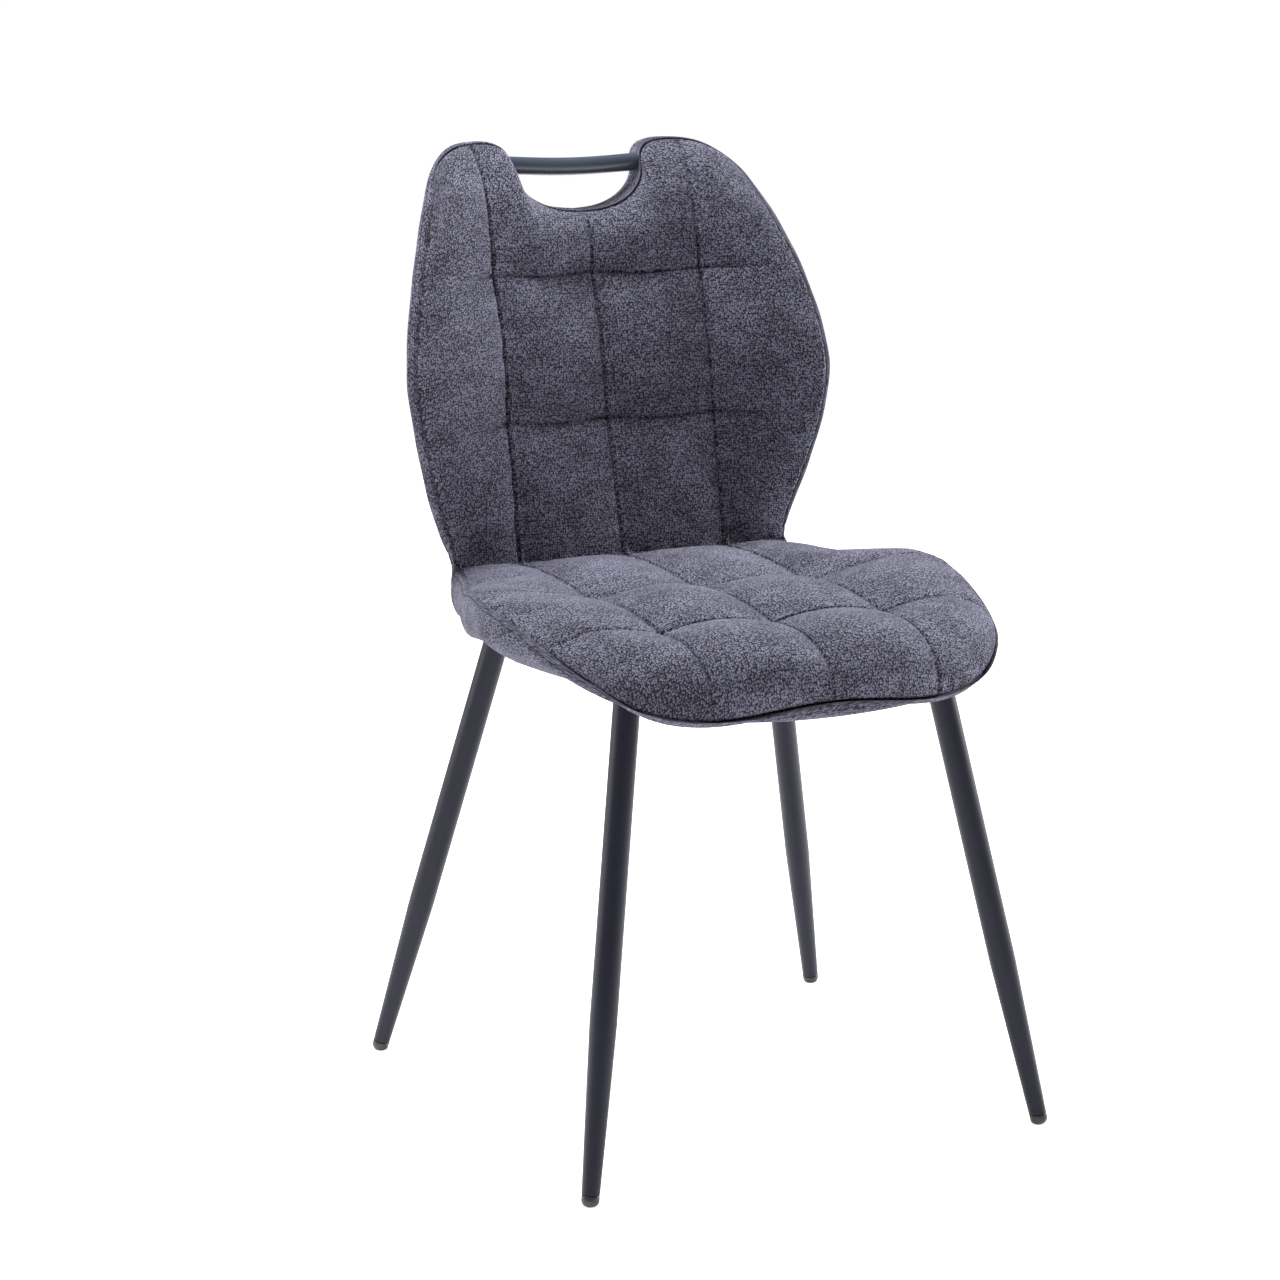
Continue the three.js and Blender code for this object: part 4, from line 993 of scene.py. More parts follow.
def back_outline(low):
    """The right half of the back's silhouette in x and z, from the given height up."""
    z = np.linspace(low, SHOULDER_Z, SIDE_POINTS)
    below = np.clip((BACK_CORNER_Z - z) / (BACK_CORNER_Z - REAR_LOW_Z), 0, 1)
    drawn_in = BORDER_OUT * ease((JOIN_Z - z) / JOIN_LENGTH) + UNDER_IN * below ** 2
    sides = np.stack([back_side(z) + BORDER_OUT - drawn_in, z], axis=1)
    shoulder = (sides[-1, 0], SHOULDER_Z)
    crown = ((NOTCH_HALF + shoulder[0]) / 2 - CROWN_IN, BACK_TOP)
    top = bezier(shoulder, (shoulder[0] - SHOULDER_HANDLE[0], SHOULDER_Z + SHOULDER_HANDLE[1]),
                 (crown[0] + CROWN_HANDLE, BACK_TOP), crown)
    corner = bezier(crown, (lerp(crown[0], NOTCH_HALF, NOTCH_ROUND), BACK_TOP),
                    (NOTCH_HALF, NOTCH_CORNER_Z + NOTCH_HANDLES[0]),
                    (NOTCH_HALF, NOTCH_CORNER_Z))
    notch = bezier((NOTCH_HALF, NOTCH_CORNER_Z), (NOTCH_HALF, NOTCH_CORNER_Z - NOTCH_HANDLES[1]),
                   (NOTCH_FLOOR_HANDLE, NOTCH_Z), (0.0, NOTCH_Z))
    return np.concatenate([sides, top[1:], corner[1:], notch[1:]])


def inset(outline, distance):
    """Moves a line of x, z points sideways towards the inside of the back."""
    along = unit(np.gradient(outline, axis=0))
    inward = np.stack([-along[:, 1], along[:, 0]], axis=1)
    return outline + inward * distance


def on_front(line):
    """Lifts x, z points onto the front face, as the edge seam is."""
    return np.stack([line[:, 0], back_front(line[:, 0], line[:, 1]), line[:, 1]], axis=1)


SEAM_LOW_Z = 486.0                # the edge seam starts here, below the seat's surface
TOP_SEAM_IN = 0.8                 # over the top the seam lies this far inside the silhouette
SEAM_JOIN_Z = 530.0               # at the sides by BORDER_OUT, and by less below this
GRID_CORNER_Z = 866.0             # the sheet's upper corners lie here on the outline
ROLL_START_Z = 846.0              # the cover starts to roll back over the top here
ROLL_LENGTH = 45.0
silhouette = back_outline(SEAM_LOW_Z)
over_top = ease((silhouette[:, 1] - ROLL_START_Z) / ROLL_LENGTH)
over_top[np.argmax(silhouette[:, 1]):] = 1.0
at_side = BORDER_OUT * (1.0 - ease((SEAM_JOIN_Z - silhouette[:, 1]) / JOIN_LENGTH))
seam_inset = lerp(at_side, TOP_SEAM_IN, over_top)
seam_outline = inset(silhouette, seam_inset[:, None])
seam_outline[-1, 0] = 0.0
seam_curve = on_front(seam_outline)
seam_curve[:, 1] += TOP_ROLL * over_top
grid_corner = int(np.argmax(seam_outline[:, 1] > GRID_CORNER_Z))
crown_stop = int(np.nonzero((seam_outline[:, 0] < COLUMN_X - 1.0)
                            & (np.arange(len(seam_outline)) > grid_corner))[0][0])
top_outer = seam_curve[grid_corner:crown_stop + 1]
top_inner = seam_curve[crown_stop:]
BACK_COLUMN = float(seam_curve[crown_stop, 0])
print("back corner", np.round(seam_curve[grid_corner], 1), "column at", round(BACK_COLUMN, 1))


BACK_COLUMN_ARCH = (1.5, 5.0, 4.0)   # rise of the upright seams between crossings, by row
BACK_CROSS_ARCH = (0.0, 3.5, 4.5)    # and of the cross seams, by line
CROSS_SAG = 1.2
CROSS_LIFT = 4.0                     # the cross seams lie this much higher at the sides
CROSS_LIFT_HALF = 220.0
ROLL_LATE = 8                        # how late the upright seams roll back over the top


def back_cross_z(line, x):
    """Height of a cross seam: level below, dipping a little between the columns above."""
    if line == 0:
        return np.full_like(x, CROSS_Z[0])
    wave = 1.0 - np.cos(math.pi * np.clip(np.abs(x) / BACK_COLUMN, 0.0, 2.0) * 2.0)
    lift = CROSS_LIFT * (np.abs(x) / CROSS_LIFT_HALF) ** 2
    return CROSS_Z[line] - CROSS_SAG * wave + lift


def back_column(x, row, t):
    """A vertical seam between two cross seams; it sinks deepest at the crossings."""
    low = float(back_cross_z(row, np.array([x]))[0])
    if row < 2:
        high = float(back_cross_z(row + 1, np.array([x]))[0])
    else:
        high = float((top_inner[0] if x > 0 else top_inner[-1])[2])
    z = lerp(low, high, t)
    dips = (BACK_DIPS[row], (*BACK_DIPS, 0.0)[row + 1])
    rolled = TOP_ROLL * t ** ROLL_LATE if row == 2 else 0.0
    dip = lerp(dips[0], dips[1], t) - BACK_COLUMN_ARCH[row] * bell(t, ARCH_POWER) + rolled
    return np.stack([np.full_like(t, x), back_front(x, z) + dip, z], axis=-1)


def back_cross(line, x0, x1, s):
    """A cross seam between two vertical seams, rising out of the foam between crossings."""
    x = lerp(x0, x1, s)
    z = back_cross_z(line, x)
    fade = 1.0 - s if x1 > BACK_COLUMN + 1.0 else np.ones_like(s)
    dip = BACK_DIPS[line] * fade - BACK_CROSS_ARCH[line] * bell(s, ARCH_POWER)
    return np.stack([x, back_front(x, z) + dip, z], axis=-1)


def back_panel(column, row, s, t):
    """One panel of the right half of the back; rows run from the seat to the top."""
    side_z = [float(back_cross(k, BACK_COLUMN, float(back_side(CROSS_Z[k])),
                               np.array([1.0]))[0, 2]) for k in range(3)]
    outer_x = float(back_side(side_z[row]))
    x0, x1 = ((0.0, BACK_COLUMN), (BACK_COLUMN, outer_x))[column]
    bottom = back_cross(row, x0, x1, s)
    if row < 2:
        x3 = BACK_COLUMN if column == 0 else float(back_side(side_z[row + 1]))
        top = back_cross(row + 1, x0, x3, s)
    else:
        top = even_along(top_inner if column == 0 else top_outer, 1.0 - s)
    left = back_column(x0, row, t)
    if column == 0:
        right = back_column(x1, row, t)
    else:
        z = lerp(bottom[-1, 2], top[-1, 2], t)
        rising = seam_curve[:grid_corner + 1]
        right = np.stack([np.interp(z, rising[:, 2], rising[:, k]) for k in range(2)] + [z],
                         axis=-1)
        right[0], right[-1] = bottom[-1], top[-1]
    return coons(bottom, top, left, right, s, t)


# %% Back cushion
# How far each panel's middle stands out: rows from the seat to the top, left to right.
BACK_LIFT = np.array([[6.0, 5.0, 5.5, 6.0], [16.0, 10.5, 11.0, 13.0], [14.0, 9.5, 9.5, 12.0]])
FORWARD = (0.0, -1.0, 0.0)
BACK_DEPTH = 9.0
back_sheet, back_base, back_normal = quilt("back_cushion_cover", back_panel, FORWARD, BACK_LIFT,
                                           BACK_DEPTH, 0.62, 0.93)
back_sheet = with_lumps(back_sheet, back_normal * seam_profile(*FINE, ROWS, 0.5)[..., None])
back_sheet = creased(back_sheet, back_normal, 3.4, 1.7, 0.8, 0.9)
back_hidden = share_rim(back_sheet, closing_sheet(back_base, back_normal, BACK_DEPTH))
back_cover = make_piece("back_cushion_cover", [
    {"points": back_sheet, "uv": cloth_uv(back_base)},
    {"points": back_hidden, "uv": cloth_uv(back_base), "flip": True}], cover_cloth)

# %% [markdown]
# ## The cover of the back's rear
# Behind, the cover is one plain panel over a thin pad. It is a single patch on each side of
# the centre line, drawn in x and z and pushed onto the rear face, with the lower edge rolled
# under towards the seat.

# %% Rear cover
REAR_INSET = 1.5
REAR_DEPTH = 5.0
rear_outline = inset(back_outline(REAR_LOW_Z), REAR_INSET)
rear_outline[-1, 0] = 0.0
rear_corner = int(np.argmax(rear_outline[:, 1] > GRID_CORNER_Z))
rear_stop = int(np.nonzero((rear_outline[:, 0] < COLUMN_X - 1.0)
                           & (np.arange(len(rear_outline)) > rear_corner))[0][0])


def flat_line(line):
    """Adds a depth of zero to x, z points, so that they can be used as a curve in space."""
    return np.stack([line[:, 0], np.zeros(len(line)), line[:, 1]], axis=1)


def rear_panel(column, row, s, t):
    """One patch of the right half of the rear cover, from its rolled foot to the top."""
    stop = rear_outline[rear_stop]
    low = rear_outline[0]
    x0, x1 = ((0.0, stop[0]), (stop[0], low[0]))[column]
    bottom = np.stack([lerp(x0, x1, s), 0.0 * s, 0.0 * s + low[1]], axis=-1)
    line = (rear_outline[rear_stop:], rear_outline[rear_corner:rear_stop + 1])[column]
    top = even_along(flat_line(line), 1.0 - s)
    left = np.stack([0.0 * t + x0, 0.0 * t, lerp(low[1], top[0, 2], t)], axis=-1)
    side = flat_line(rear_outline[:rear_corner + 1])
    right = np.stack([0.0 * t + x1, 0.0 * t, lerp(low[1], top[-1, 2], t)], axis=-1)
    right = even_along(side, t) if column == 1 else right
    return coons(bottom, top, left, right, s, t)


REAR_CELLS = (40, 120)            # cells across one column and along the whole sheet
RIM_SINK = 1.8                    # the cover sinks by this to its seam
RIM_CELLS = 1.6                   # over about this many cells of the sheet
rear_base = mirrored_columns(rear_panel, 1, crowded(REAR_CELLS[0]), crowded(REAR_CELLS[1]))
rear_base[..., 1] = back_rear(rear_base[..., 0], rear_base[..., 2])
rear_normal = normals_of(rear_base, (0.0, 1.0, 0.0))
rear_sheet = with_lumps(
    rear_base, rear_normal * seam_profile(*REAR_CELLS, 1, 0.4)[..., None], 0.9)
row_numbers, column_numbers = (np.arange(count) for count in rear_base.shape[:2])
rows_in = np.minimum(row_numbers, row_numbers[::-1])[:, None]
columns_in = np.minimum(column_numbers, column_numbers[::-1])[None]
rear_rim = np.exp(-(np.minimum(rows_in, columns_in) / RIM_CELLS) ** 2)
rear_sheet = rear_sheet - rear_normal * (RIM_SINK * rear_rim)[..., None]
rear_hidden = share_rim(rear_sheet, closing_sheet(rear_base, rear_normal, REAR_DEPTH))
rear_cover = make_piece("rear_cover", [
    {"points": rear_sheet, "uv": cloth_uv(rear_base)},
    {"points": rear_hidden, "uv": cloth_uv(rear_base), "flip": True}], cover_cloth)

# %% [markdown]
# ## The side border
# One long strip closes the cushion all the way round: along the seat's sides and front, round
# the inner corner where seat meets back, up the back, over the shoulders and through the
# notch. It is a profile carried along a path. The path is a pair of curves, the seam on the
# cushion side and the edge on the far side, and the profile bulges between them. Under the
# seat the strip turns in and is stapled below the board.

# %% The border's two edges
BORDER_UNDER = 0.25               # the stapled edge hangs this far below the board
FOOT_REAR_Z = 451.0               # lower edge of the border at the rear
FOOT_ARCH = 17.0                  # it rises by this in the middle of the sides,
FOOT_ARCH_Y = 100.0               # from here forward,
FOOT_ARCH_LENGTH = 90.0           # over this length
FOOT_FALL = 46.0                  # and falls by this towards the front,
FOOT_FALL_Y = -97.0               # from here,
FOOT_FALL_LENGTH = 150.0          # over this length
FOOT_FALL_POWER = 1.8
BOARD_Z = 452.0
LIP_Y = -186.0                    # the board's front lip starts here
LIP_LENGTH = 47.0
LIP_DROP = 26.0
FOOT_IN = 5.0                     # the foot lies inside the seam by this,
FOOT_IN_REAR = 1.5                # and by this at the rear corner
SIDE_BULGE = 5.0                  # how far the border stands out between its edges:
CORNER_BULGE = 10.0               # most at the rear corner,
JOIN_BULGE = 2.5                  # little just above it,
TOP_BULGE = 1.6                   # and least over the top of the back
JOIN_TOP_Z = 503.0                # the back's own border starts above this
LOOP_STEPS = 330                  # stations along the seat, and as many along the back
LOOP_CROWDING = 1.35              # above 1 they lie closer together near the rear corner


def border_foot(y):
    """Height of the seat border's lower edge: arched at the sides, swept down in front."""
    fall = np.clip(np.clip(FOOT_FALL_Y - y, 0.0, None) / FOOT_FALL_LENGTH, 0.0, 1.0)
    arched = FOOT_REAR_Z + FOOT_ARCH * ease((FOOT_ARCH_Y - y) / FOOT_ARCH_LENGTH)
    return arched - FOOT_FALL * fall ** FOOT_FALL_POWER


def board_underside(y):
    """Height of the seat board's underside: flat, with a lip bent down in front."""
    t = np.clip((LIP_Y - y) / LIP_LENGTH, 0.0, 1.0)
    return BOARD_Z - LIP_DROP * t * t


def spaced(points, normals, shares):
    """Resamples a line and the directions that go with it at given shares of its length."""
    line = even_along(points, shares)
    both = np.stack([even_along_like(points, normals[:, k], shares) for k in range(3)], axis=-1)
    return line, unit(both)


def even_along_like(points, values, shares):
    """Values carried by a line, at given shares of the line's length."""
    step = np.linalg.norm(np.diff(points, axis=0), axis=1)
    walked = np.concatenate([[0.0], np.cumsum(step)])
    return np.interp(shares * walked[-1], walked, values)


on_back = seam_outline[:, 1] > JOIN_TOP_Z
side_y = np.linspace(WIDEST_Y, CREASE_Y - 1.0, 400)
seat_line = np.concatenate([front_arc[::-1][:-1], seat_side_curve(side_y)])
plan = unit(np.gradient(seat_line[:, :2], axis=0))
seat_out = np.stack([plan[:, 1], -plan[:, 0], np.zeros(len(plan))], axis=1)
seat_out[0] = (0.0, -1.0, 0.0)
near_corner = 1.0 - (1.0 - np.linspace(0.0, 1.0, LOOP_STEPS)) ** LOOP_CROWDING
seat_top, seat_out = spaced(seat_line, seat_out, near_corner)
to_rear = ease((seat_top[:, 1] - 20.0) / 100.0)
seat_foot = seat_top - seat_out * lerp(FOOT_IN, FOOT_IN_REAR, to_rear)[:, None]
seat_foot[:, 2] = border_foot(seat_top[:, 1])

back_line = seam_curve[on_back]
start_at = len(seam_curve) - len(back_line)
back_along = unit(np.gradient(seam_outline[start_at:], axis=0))
back_out = np.stack([back_along[:, 1], np.zeros(len(back_along)), -back_along[:, 0]], axis=1)
back_out[-1] = (0.0, 0.0, 1.0)
from_join = np.linspace(0.0, 1.0, LOOP_STEPS) ** LOOP_CROWDING
back_top, back_out = spaced(back_line, back_out, from_join)
back_over = even_along_like(back_line, over_top[on_back], from_join)
back_in = even_along_like(back_line, seam_inset[on_back], from_join)
back_foot = back_top + back_out * (back_in - REAR_INSET)[:, None]
back_foot[:, 1] = back_rear(back_foot[:, 0], back_foot[:, 2])

turn = np.linspace(0.0, 1.0, 62)[1:-1]
roll_z = np.linspace(REAR_LOW_Z, JOIN_TOP_Z, 200)
roll_x = np.interp(roll_z, rear_outline[:SIDE_POINTS, 1], rear_outline[:SIDE_POINTS, 0])
roll = np.stack([roll_x, back_rear(roll_x, roll_z), roll_z], axis=1)
corner_foot = even_along(np.concatenate([seat_foot[-1:], roll, back_foot[:1]]), turn)
corner_top = lerp(seat_top[-1], back_top[0], turn[:, None])
corner_out = unit(lerp(seat_out[-1], back_out[0], ease(turn)[:, None]))

top_edge = np.concatenate([seat_top, corner_top, back_top])
foot_edge = np.concatenate([seat_foot, corner_foot, back_foot])
outward = np.concatenate([seat_out, corner_out, back_out])
on_seat = np.concatenate([np.ones(len(seat_top)), 1.0 - ease(turn), np.zeros(len(back_top))])
back_bulge = lerp(JOIN_BULGE, SIDE_BULGE, ease((back_top[:, 2] - JOIN_TOP_Z) / JOIN_LENGTH))
bulge = np.concatenate([lerp(SIDE_BULGE, CORNER_BULGE, to_rear),
                        lerp(CORNER_BULGE, JOIN_BULGE, ease(turn)),
                        lerp(back_bulge, TOP_BULGE, back_over)])
walk = np.concatenate([[0.0], np.cumsum(np.linalg.norm(np.diff(foot_edge, axis=0), axis=1))])
print("border half length", round(walk[-1]), "mm, narrowest",
      round(float(np.linalg.norm(top_edge - foot_edge, axis=1).min()), 1))

# %% The border's profile
STITCH_IN = 6.5                   # the topstitch runs this far from the seam
NEAR_SEAM = np.array([0.0, 0.5, 1.0, 1.6, 2.3, 3.1, 4.0, 4.8, 5.4, 5.9, 6.2, 6.5, 6.8, 7.1,
                      7.6, 8.4, 9.5])
FAR_STEPS = 12
NARROW = 13.0                     # where the border is narrower, the near rows close up
BULGE_POWER = 0.55                # below 1 the bulge is flat outside and steep at its edges
STITCH_SINK = 0.8
GATHER_LENGTH = 34.0              # the gathers reach this far from the rear corner
GATHER_HEIGHT = 0.9
GATHER_PITCH = 5.6
WAVE_HEIGHT = 0.35                # long waves along the whole strip
GROOVE = 1.3                      # the seam's groove
GROOVE_WIDTH = 1.2
stations = len(top_edge)
width = np.linalg.norm(foot_edge - top_edge, axis=1)[:, None]
toward_face = on_seat[:, None] * np.array([[0.0, 0.0, 1.0]])
toward_face = unit(toward_face + (1.0 - on_seat[:, None]) * np.array([[0.0, -1.0, 0.0]]))
far_share = np.linspace(0.0, 1.0, FAR_STEPS + 1)[1:][None]
closed_up = np.minimum(width / NARROW, 1.0)
in_mm = np.concatenate([np.repeat(NEAR_SEAM[None], stations, 0) * closed_up,
                        lerp(NEAR_SEAM[-1] * closed_up, width, far_share)], axis=1)
v = in_mm / width
hump = np.sin(math.pi * np.clip(v, 0.0, 1.0))
puffed = bulge[:, None] * hump ** BULGE_POWER
puffed -= STITCH_SINK * np.exp(-((in_mm - STITCH_IN) / 0.9) ** 2)
centre = len(seat_top) + len(turn) / 2
span = np.abs(walk - walk[int(centre)])
gather = np.exp(-(span / GATHER_LENGTH) ** 2)[:, None]
fold = np.sin(2.0 * math.pi * walk / GATHER_PITCH + 1.7 * np.sin(walk * 0.21))[:, None]
puffed += GATHER_HEIGHT * gather * fold * hump ** 0.6
long_wave = np.sin(walk * 0.045 + 0.6)[:, None] + np.sin(walk * 0.113)[:, None]
puffed += WAVE_HEIGHT * long_wave * hump
skin = lerp(top_edge[:, None], foot_edge[:, None], v[..., None])
skin = skin + outward[:, None] * puffed[..., None]
skin -= toward_face[:, None] * (GROOVE * np.exp(-(in_mm / GROOVE_WIDTH) ** 2))[..., None]
skin[:, 0] -= outward * 0.5

# Behind the skin the strip turns in: a tongue below the board on the seat, a tuck between
# the two covers on the back.
inward = -outward
seat_part = on_seat[:, None]
side_share = np.abs(outward[:, :1]) ** 2
under = foot_edge + inward * (9.0 + 16.0 * side_share)
tongue = foot_edge + inward * (30.0 + 22.0 * side_share)
under[:, 2] = board_underside(under[:, 1]) - BORDER_UNDER
tongue[:, 2] = board_underside(tongue[:, 1]) - BORDER_UNDER
tongue_top = tongue + np.array([0.0, 0.0, 0.2])
under_top = under - inward * 1.5 + np.array([0.0, 0.0, 0.2])
raised = under_top + np.array([0.0, 0.0, 9.0])
behind = foot_edge + inward * 5.0
behind[:, 1] -= 3.0
tuck = top_edge + inward * 4.0 - toward_face * 6.0
inner = [lerp(behind, under, seat_part), lerp(behind + inward, tongue, seat_part),
         lerp(behind + inward * 1.2, tongue_top, seat_part),
         lerp(lerp(behind, tuck, 0.2), under_top, seat_part),
         lerp(lerp(behind, tuck, 0.5), raised, seat_part), tuck]
steps = np.linspace(0.0, 1.0, 9)[1:-1, None, None]
sag = 1.5 * np.sin(math.pi * steps) * seat_part[None]
turned_in = lerp(skin[:, -1][None], inner[0][None], steps) - sag * np.array([0.0, 0.0, 1.0])
half_border = np.concatenate([skin, turned_in.transpose(1, 0, 2),
                              np.stack(inner, axis=1), skin[:, :1]], axis=1)
half_border[0, :, 0] = 0.0
half_border[-1, :, 0] = 0.0
other_half = half_border[:0:-1] * np.array([-1.0, 1.0, 1.0])
border = np.concatenate([other_half, half_border, other_half[:1]])
side_border = make_piece("side_border", [{"points": border, "uv": cloth_uv(border)}],
                         cover_cloth)

# %% [markdown]
# ## Topstitching
# A row of short stitches holds the seam allowance flat, a needle's width inside the border.
# Each stitch is a small spindle. All of them are placed at once: a spindle is drawn one time
# and carried to every place along the border by its direction, its side and its height.

# %% Stitches
STITCH_PITCH = 4.3
STITCH_LENGTH = 3.2
STITCH_RADIUS = 0.42
FIRST_STITCH_Y = -150.0           # on the seat the row of stitches starts here
LAST_GAP = 3.0                    # and on the back it ends this far before the centre line
STITCH_LIFT = 0.1                 # a stitch's middle lies just above the cloth,
STITCH_SAG = 0.35                 # and its ends go down into it by this
STITCH_RINGS = 5
STITCH_SIDES = 6
stitch_row = int(np.argmin(np.abs(NEAR_SEAM - STITCH_IN)))
stitch_line = half_border[:, stitch_row]
stitch_walk = np.concatenate([[0.0], np.cumsum(np.linalg.norm(np.diff(stitch_line, axis=0),
                                                              axis=1))])
first_stitch = float(np.interp(FIRST_STITCH_Y, seat_top[:, 1], stitch_walk[:len(seat_top)]))
stitch_at = np.arange(first_stitch, stitch_walk[-1] - LAST_GAP, STITCH_PITCH)


def along_stitches(values, offset=0.0):
    """Values of the border's half path at every stitch."""
    return np.stack([np.interp(stitch_at + offset, stitch_walk, values[:, k])
                     for k in range(3)], axis=-1)


ahead = unit(along_stitches(stitch_line, 0.7) - along_stitches(stitch_line, -0.7))
lifted = unit(along_stitches(outward))
middle = along_stitches(stitch_line) + lifted * STITCH_LIFT
across_stitch = unit(np.cross(ahead, lifted))
around = np.linspace(0.0, 2.0 * math.pi, STITCH_SIDES + 1)
length_share = np.linspace(-1.0, 1.0, STITCH_RINGS)
girth = STITCH_RADIUS * np.sqrt(np.clip(1.0 - length_share ** 4, 0.0, 1.0))
spindle_up = girth[:, None] * np.cos(around)[None] - STITCH_SAG * (length_share ** 2)[:, None]
spindle_side = girth[:, None] * np.sin(around)[None]
spindle_long = np.repeat(length_share[:, None] * STITCH_LENGTH / 2, STITCH_SIDES + 1, axis=1)
spindles = (middle[:, None, None] + ahead[:, None, None] * spindle_long[None, ..., None]
            + lifted[:, None, None] * spindle_up[None, ..., None]
            + across_stitch[:, None, None] * spindle_side[None, ..., None])
spindles = np.concatenate([spindles, spindles[..., ::-1, :] * np.array([-1.0, 1.0, 1.0])])
stitches = make_piece("border_topstitch", [
    {"points": grid, "uv": np.zeros(grid.shape[:2] + (2,))} for grid in spindles], seam_thread)
print(len(spindles), "stitches")

# %% [markdown]
# ## Legs, glides and rail
# A tapered tube is a lathe shape: a radius as a function of the distance along its axis, swept
# round. The legs splay, so the same function takes any axis. At the top each leg is cut level,
# where it is welded to its plate, and a rippled bead runs round the joint.

# %% Tapered legs
LEG_SIDES = 40
LEG_RADIUS = 12.5
FOOT_RADIUS = 8.0
TAPER_TOP = 157.0                 # above this height the tube is straight
LEG_TOP_Z = 446.3
LIP_ROUND = 0.5                   # rounding of the tube's lower edge
GLIDE_RIM = 10.0                  # the tube starts this far up, on the rim of its glide
GLIDE_START = -1.4                # the worn nose would reach this far below the floor
GLIDE_NOSE = 6.9
GLIDE_RADIUS = 8.3
BEAD_RADIUS = 1.9
BEAD_RIPPLE = 0.16
BEAD_RIPPLES = 30
BEAD_SIDES = 96
FEET = {"front": ((236.1, -236.4, 0.0), (160.7, -156.0, 430.0)),
        "rear": ((250.0, 236.4, 0.0), (152.5, 152.2, 430.0))}


def swept(foot, axis, distance, radius, sides=LEG_SIDES):
    """Circles of the given radii round an axis, at distances from the foot."""
    side = unit(np.cross(axis, np.array([0.0, 1.0, 0.0])))
    front = np.cross(axis, side)
    angle = np.linspace(0.0, 2.0 * math.pi, sides + 1)
    ring = np.cos(angle)[:, None] * side + np.sin(angle)[:, None] * front
    return foot + distance[:, None, None] * axis + radius[:, None, None] * ring[None]


def leg_points(foot, axis):
    """A tapered tube with a rounded lower lip and a level cut at the top."""
    length = (LEG_TOP_Z - foot[2]) / axis[2]
    lip = np.linspace(0.0, math.pi / 2, 5)
    lip_in = LIP_ROUND * (1.0 - np.sin(lip))
    lip_up = GLIDE_RIM + LIP_ROUND * (1.0 - np.cos(lip))
    up = np.linspace(GLIDE_RIM + 1.0, length, 40)
    shaft = FOOT_RADIUS + (LEG_RADIUS - FOOT_RADIUS) * np.clip(up * axis[2] / TAPER_TOP, 0, 1)
    distance = np.concatenate([[GLIDE_RIM], lip_up, up, [length]])
    radius = np.concatenate([[0.0], shaft[0] - lip_in, shaft, [0.0]])
    points = swept(foot, axis, distance, radius)
    slide = (LEG_TOP_Z - points[-2, :, 2]) / axis[2]
    points[-2] += slide[:, None] * axis
    points[-1] += (LEG_TOP_Z - points[-1, :, 2])[:, None] / axis[2] * axis
    return points


def glide_points(foot, axis):
    """A moulded foot: a rounded nose worn flat on the floor, a short rim, a shadow step."""
    up = np.linspace(0.0, 1.0, 14)
    nose = GLIDE_START + GLIDE_NOSE * up
    nose_radius = GLIDE_RADIUS * np.sqrt(np.clip(1.0 - (1.0 - up) ** 2, 0.0, 1.0)) ** 0.9
    distance = np.concatenate([nose, [8.9, 9.3, 9.6, 9.6]])
    radius = np.concatenate([nose_radius, [GLIDE_RADIUS, 8.2, 7.6, 0.0]])
    points = swept(foot, axis, distance, radius)
    points[..., 2] = np.maximum(points[..., 2], 0.0)
    return points


def weld_points(foot, axis):
    """A rippled bead of weld round the top of a leg, where it meets its plate."""
    length = (LEG_TOP_Z - foot[2]) / axis[2]
    ring = swept(foot, axis, np.array([length]), np.array([LEG_RADIUS]), BEAD_SIDES)[0]
    ring += ((LEG_TOP_Z - ring[:, 2]) / axis[2])[:, None] * axis
    centre_point = foot + length * axis
    away = unit(ring - centre_point)
    angle = np.linspace(0.0, 2.0 * math.pi, BEAD_SIDES + 1)
    ripple = BEAD_RADIUS + BEAD_RIPPLE * np.sin(angle * BEAD_RIPPLES)
    ripple[-1] = ripple[0]
    round_it = np.linspace(0.0, 2.0 * math.pi, 9)[:, None, None]
    bead = ring[None] + ripple[None, :, None] * (np.cos(round_it) * away[None]
                                                 - np.sin(round_it) * np.array([0, 0, 1.0]))
    bead[..., 2] = np.minimum(bead[..., 2], LEG_TOP_Z + 0.1)
    return bead


def plain_uv(points):
    """Zero UVs for pieces whose material reads Object coordinates."""
    return np.zeros(points.shape[:2] + (2,))


def hard_piece(name, points, material):
    """A piece made from one closed grid, in a material that needs no UVs."""
    return make_piece(name, [{"points": points, "uv": plain_uv(points)}], material)


metal_pieces = []
for end, (foot, upper) in FEET.items():
    for side, sign in (("left", -1.0), ("right", 1.0)):
        turn_side = np.array([sign, 1.0, 1.0])
        foot_point = np.array(foot) * turn_side
        axis = unit(np.array(upper) * turn_side - foot_point)
        corner = f"{end}_{side}"
        leg = hard_piece(f"tapered_leg_{corner}", leg_points(foot_point, axis), leg_paint)
        glide = hard_piece(f"foot_glide_{corner}", glide_points(foot_point, axis), glide_plastic)
        bead = hard_piece(f"leg_weld_{corner}", weld_points(foot_point, axis), leg_paint)
        metal_pieces.append((leg, f"leg_{corner}", "black_powder_coat"))
        metal_pieces.append((glide, f"glide_{corner}", "glide_plastic"))
        metal_pieces.append((bead, None, "black_powder_coat"))

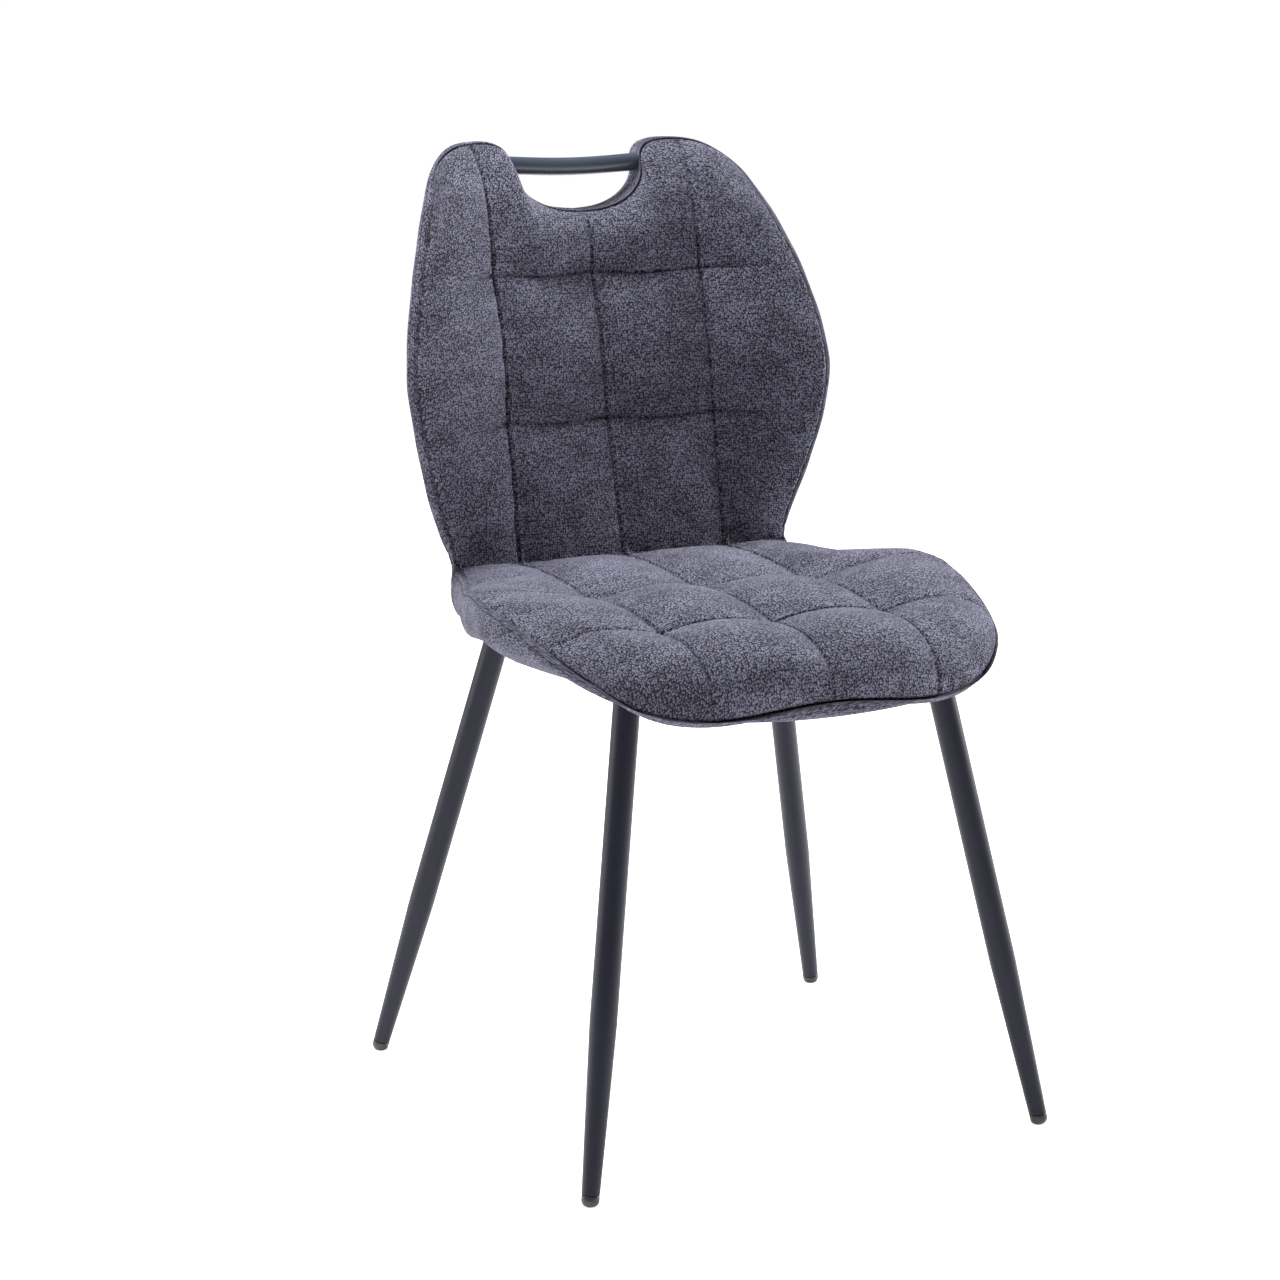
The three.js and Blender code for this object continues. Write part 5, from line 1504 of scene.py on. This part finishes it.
# %% Hand rail
RAIL_RADIUS = 9.0
RAIL_Y = 303.0
RAIL_Z = 879.0                    # height of its axis at the notch's sides
RAIL_SAG = 3.0                    # and how much lower it is in the middle
ROUND_HALF = 72.0                 # the tube is round this far from the middle,
BLADE_X = 88.0                    # pressed flat from here,
RAIL_END = 117.0                  # to its end
BLADE_HALF = (12.5, 1.6)          # half the height and half the thickness of the flat
BLADE_DROP = 4.0
BLADE_IN = 18.2                   # the flat lies this far inside the rear cover
RAIL_SIDES = 40
rail_x = np.concatenate([np.linspace(0.0, ROUND_HALF, 25),
                         np.linspace(ROUND_HALF, BLADE_X, 13)[1:],
                         np.linspace(BLADE_X, RAIL_END, 6)[1:]])
pressed = ease((rail_x - ROUND_HALF) / (BLADE_X - 1.0 - ROUND_HALF))
blade_y = back_rear(rail_x, np.full_like(rail_x, RAIL_Z - BLADE_DROP)) - BLADE_IN
sagged = RAIL_SAG * np.cos(math.pi / 2 * np.clip(rail_x / ROUND_HALF, 0, 1))
rail_centre = np.stack([rail_x, lerp(RAIL_Y, blade_y, pressed),
                        RAIL_Z - sagged - BLADE_DROP * pressed], axis=1)
rail_angle = np.linspace(0.0, 2.0 * math.pi, RAIL_SIDES + 1)
high = lerp(RAIL_RADIUS, BLADE_HALF[0], pressed)[:, None, None]
deep = lerp(RAIL_RADIUS, BLADE_HALF[1], pressed)[:, None, None]
rail_half = (rail_centre[:, None] + high * np.sin(rail_angle)[None, :, None] * np.array(UP)
             + deep * np.cos(rail_angle)[None, :, None] * np.array([0.0, 1.0, 0.0]))
rail_half = np.concatenate([rail_half, np.repeat(rail_centre[-1:, None], RAIL_SIDES + 1, axis=1)])
rail_points = np.concatenate([rail_half[:0:-1] * np.array([-1.0, 1.0, 1.0]), rail_half])
rail = hard_piece("bent_hand_rail", rail_points, rail_paint)
metal_pieces.append((rail, "hand_rail", "rail_paint"))

# %% [markdown]
# ## Tying the pieces to the frame
# Every new piece rides on the chair's one body, and where it takes the place of a solid,
# that solid is hidden.

# %% Riders
for piece, solid in ((seat_cover, "seat_pad"), (back_cover, "back_pad"),
                     (rear_cover, "back_rear_panel")):
    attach(piece, "root")
    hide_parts(solid)
for piece in (side_border, stitches):
    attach(piece, "root")
for piece, solid, finish in metal_pieces:
    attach(piece, "root")
    if solid:
        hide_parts(solid)

# %% [markdown]
# ## Studio
# A plain pale floor and a bright, even surround give soft light from everywhere. Three area
# lights, one from the right, one from above and a weak one from behind, shape the cushions.

# %% Floor
floor_material = hard_material("pale_floor", (0.86, 0.86, 0.86), (0.9, 0.9, 0.9), 3.0,
                               roughness=(0.7, 0.8), depth=0.0)
bpy.ops.mesh.primitive_grid_add(x_subdivisions=8, y_subdivisions=8, size=160.0)
floor = bpy.context.object
floor.name = "studio_floor"
floor.data.materials.append(floor_material)
floor_shader = floor_material.node_tree.nodes["Principled BSDF"]
floor_shader.inputs["Emission Color"].default_value = (1.0, 1.0, 1.0, 1.0)
floor_shader.inputs["Emission Strength"].default_value = 0.78

# %% Light
scene = bpy.context.scene
scene.view_settings.view_transform = "Standard"
scene.view_settings.look = "None"
world = bpy.data.worlds.new("bright_surround")
scene.world = world
world.use_nodes = True
background = world.node_tree.nodes["Background"]
background.inputs["Color"].default_value = (0.98, 0.98, 1.0, 1.0)
background.inputs["Strength"].default_value = 0.28


def area_light(name, place, aim, size, power):
    """A square area light at a place, turned towards a point."""
    data = bpy.data.lights.new(name, "AREA")
    data.size = size
    data.energy = power
    lamp = bpy.data.objects.new(name, data)
    scene.collection.objects.link(lamp)
    lamp.location = place
    direction = Vector(aim) - Vector(place)
    lamp.rotation_euler = direction.to_track_quat("-Z", "Y").to_euler()
    return lamp


area_light("right_light", (2.9, -0.2, 1.2), (0.0, 0.0, 0.6), 0.8, 125.0)
area_light("left_rear_light", (-2.3, 1.2, 0.9), (0.0, 0.0, 0.5), 1.2, 30.0)
area_light("top_light", (-0.3, 0.6, 2.9), (0.0, 0.0, 0.4), 1.0, 125.0)

# %% Camera
camera_data = bpy.data.cameras.new("camera")
camera_data.lens = 90.65
camera_data.sensor_width = 36.0
camera = bpy.data.objects.new("camera", camera_data)
scene.collection.objects.link(camera)
camera.location = placed(np.array([-1376.6, -2673.0, 1090.8]))
camera.rotation_euler = (math.radians(77.89), 0.0, math.radians(-26.03))
scene.camera = camera
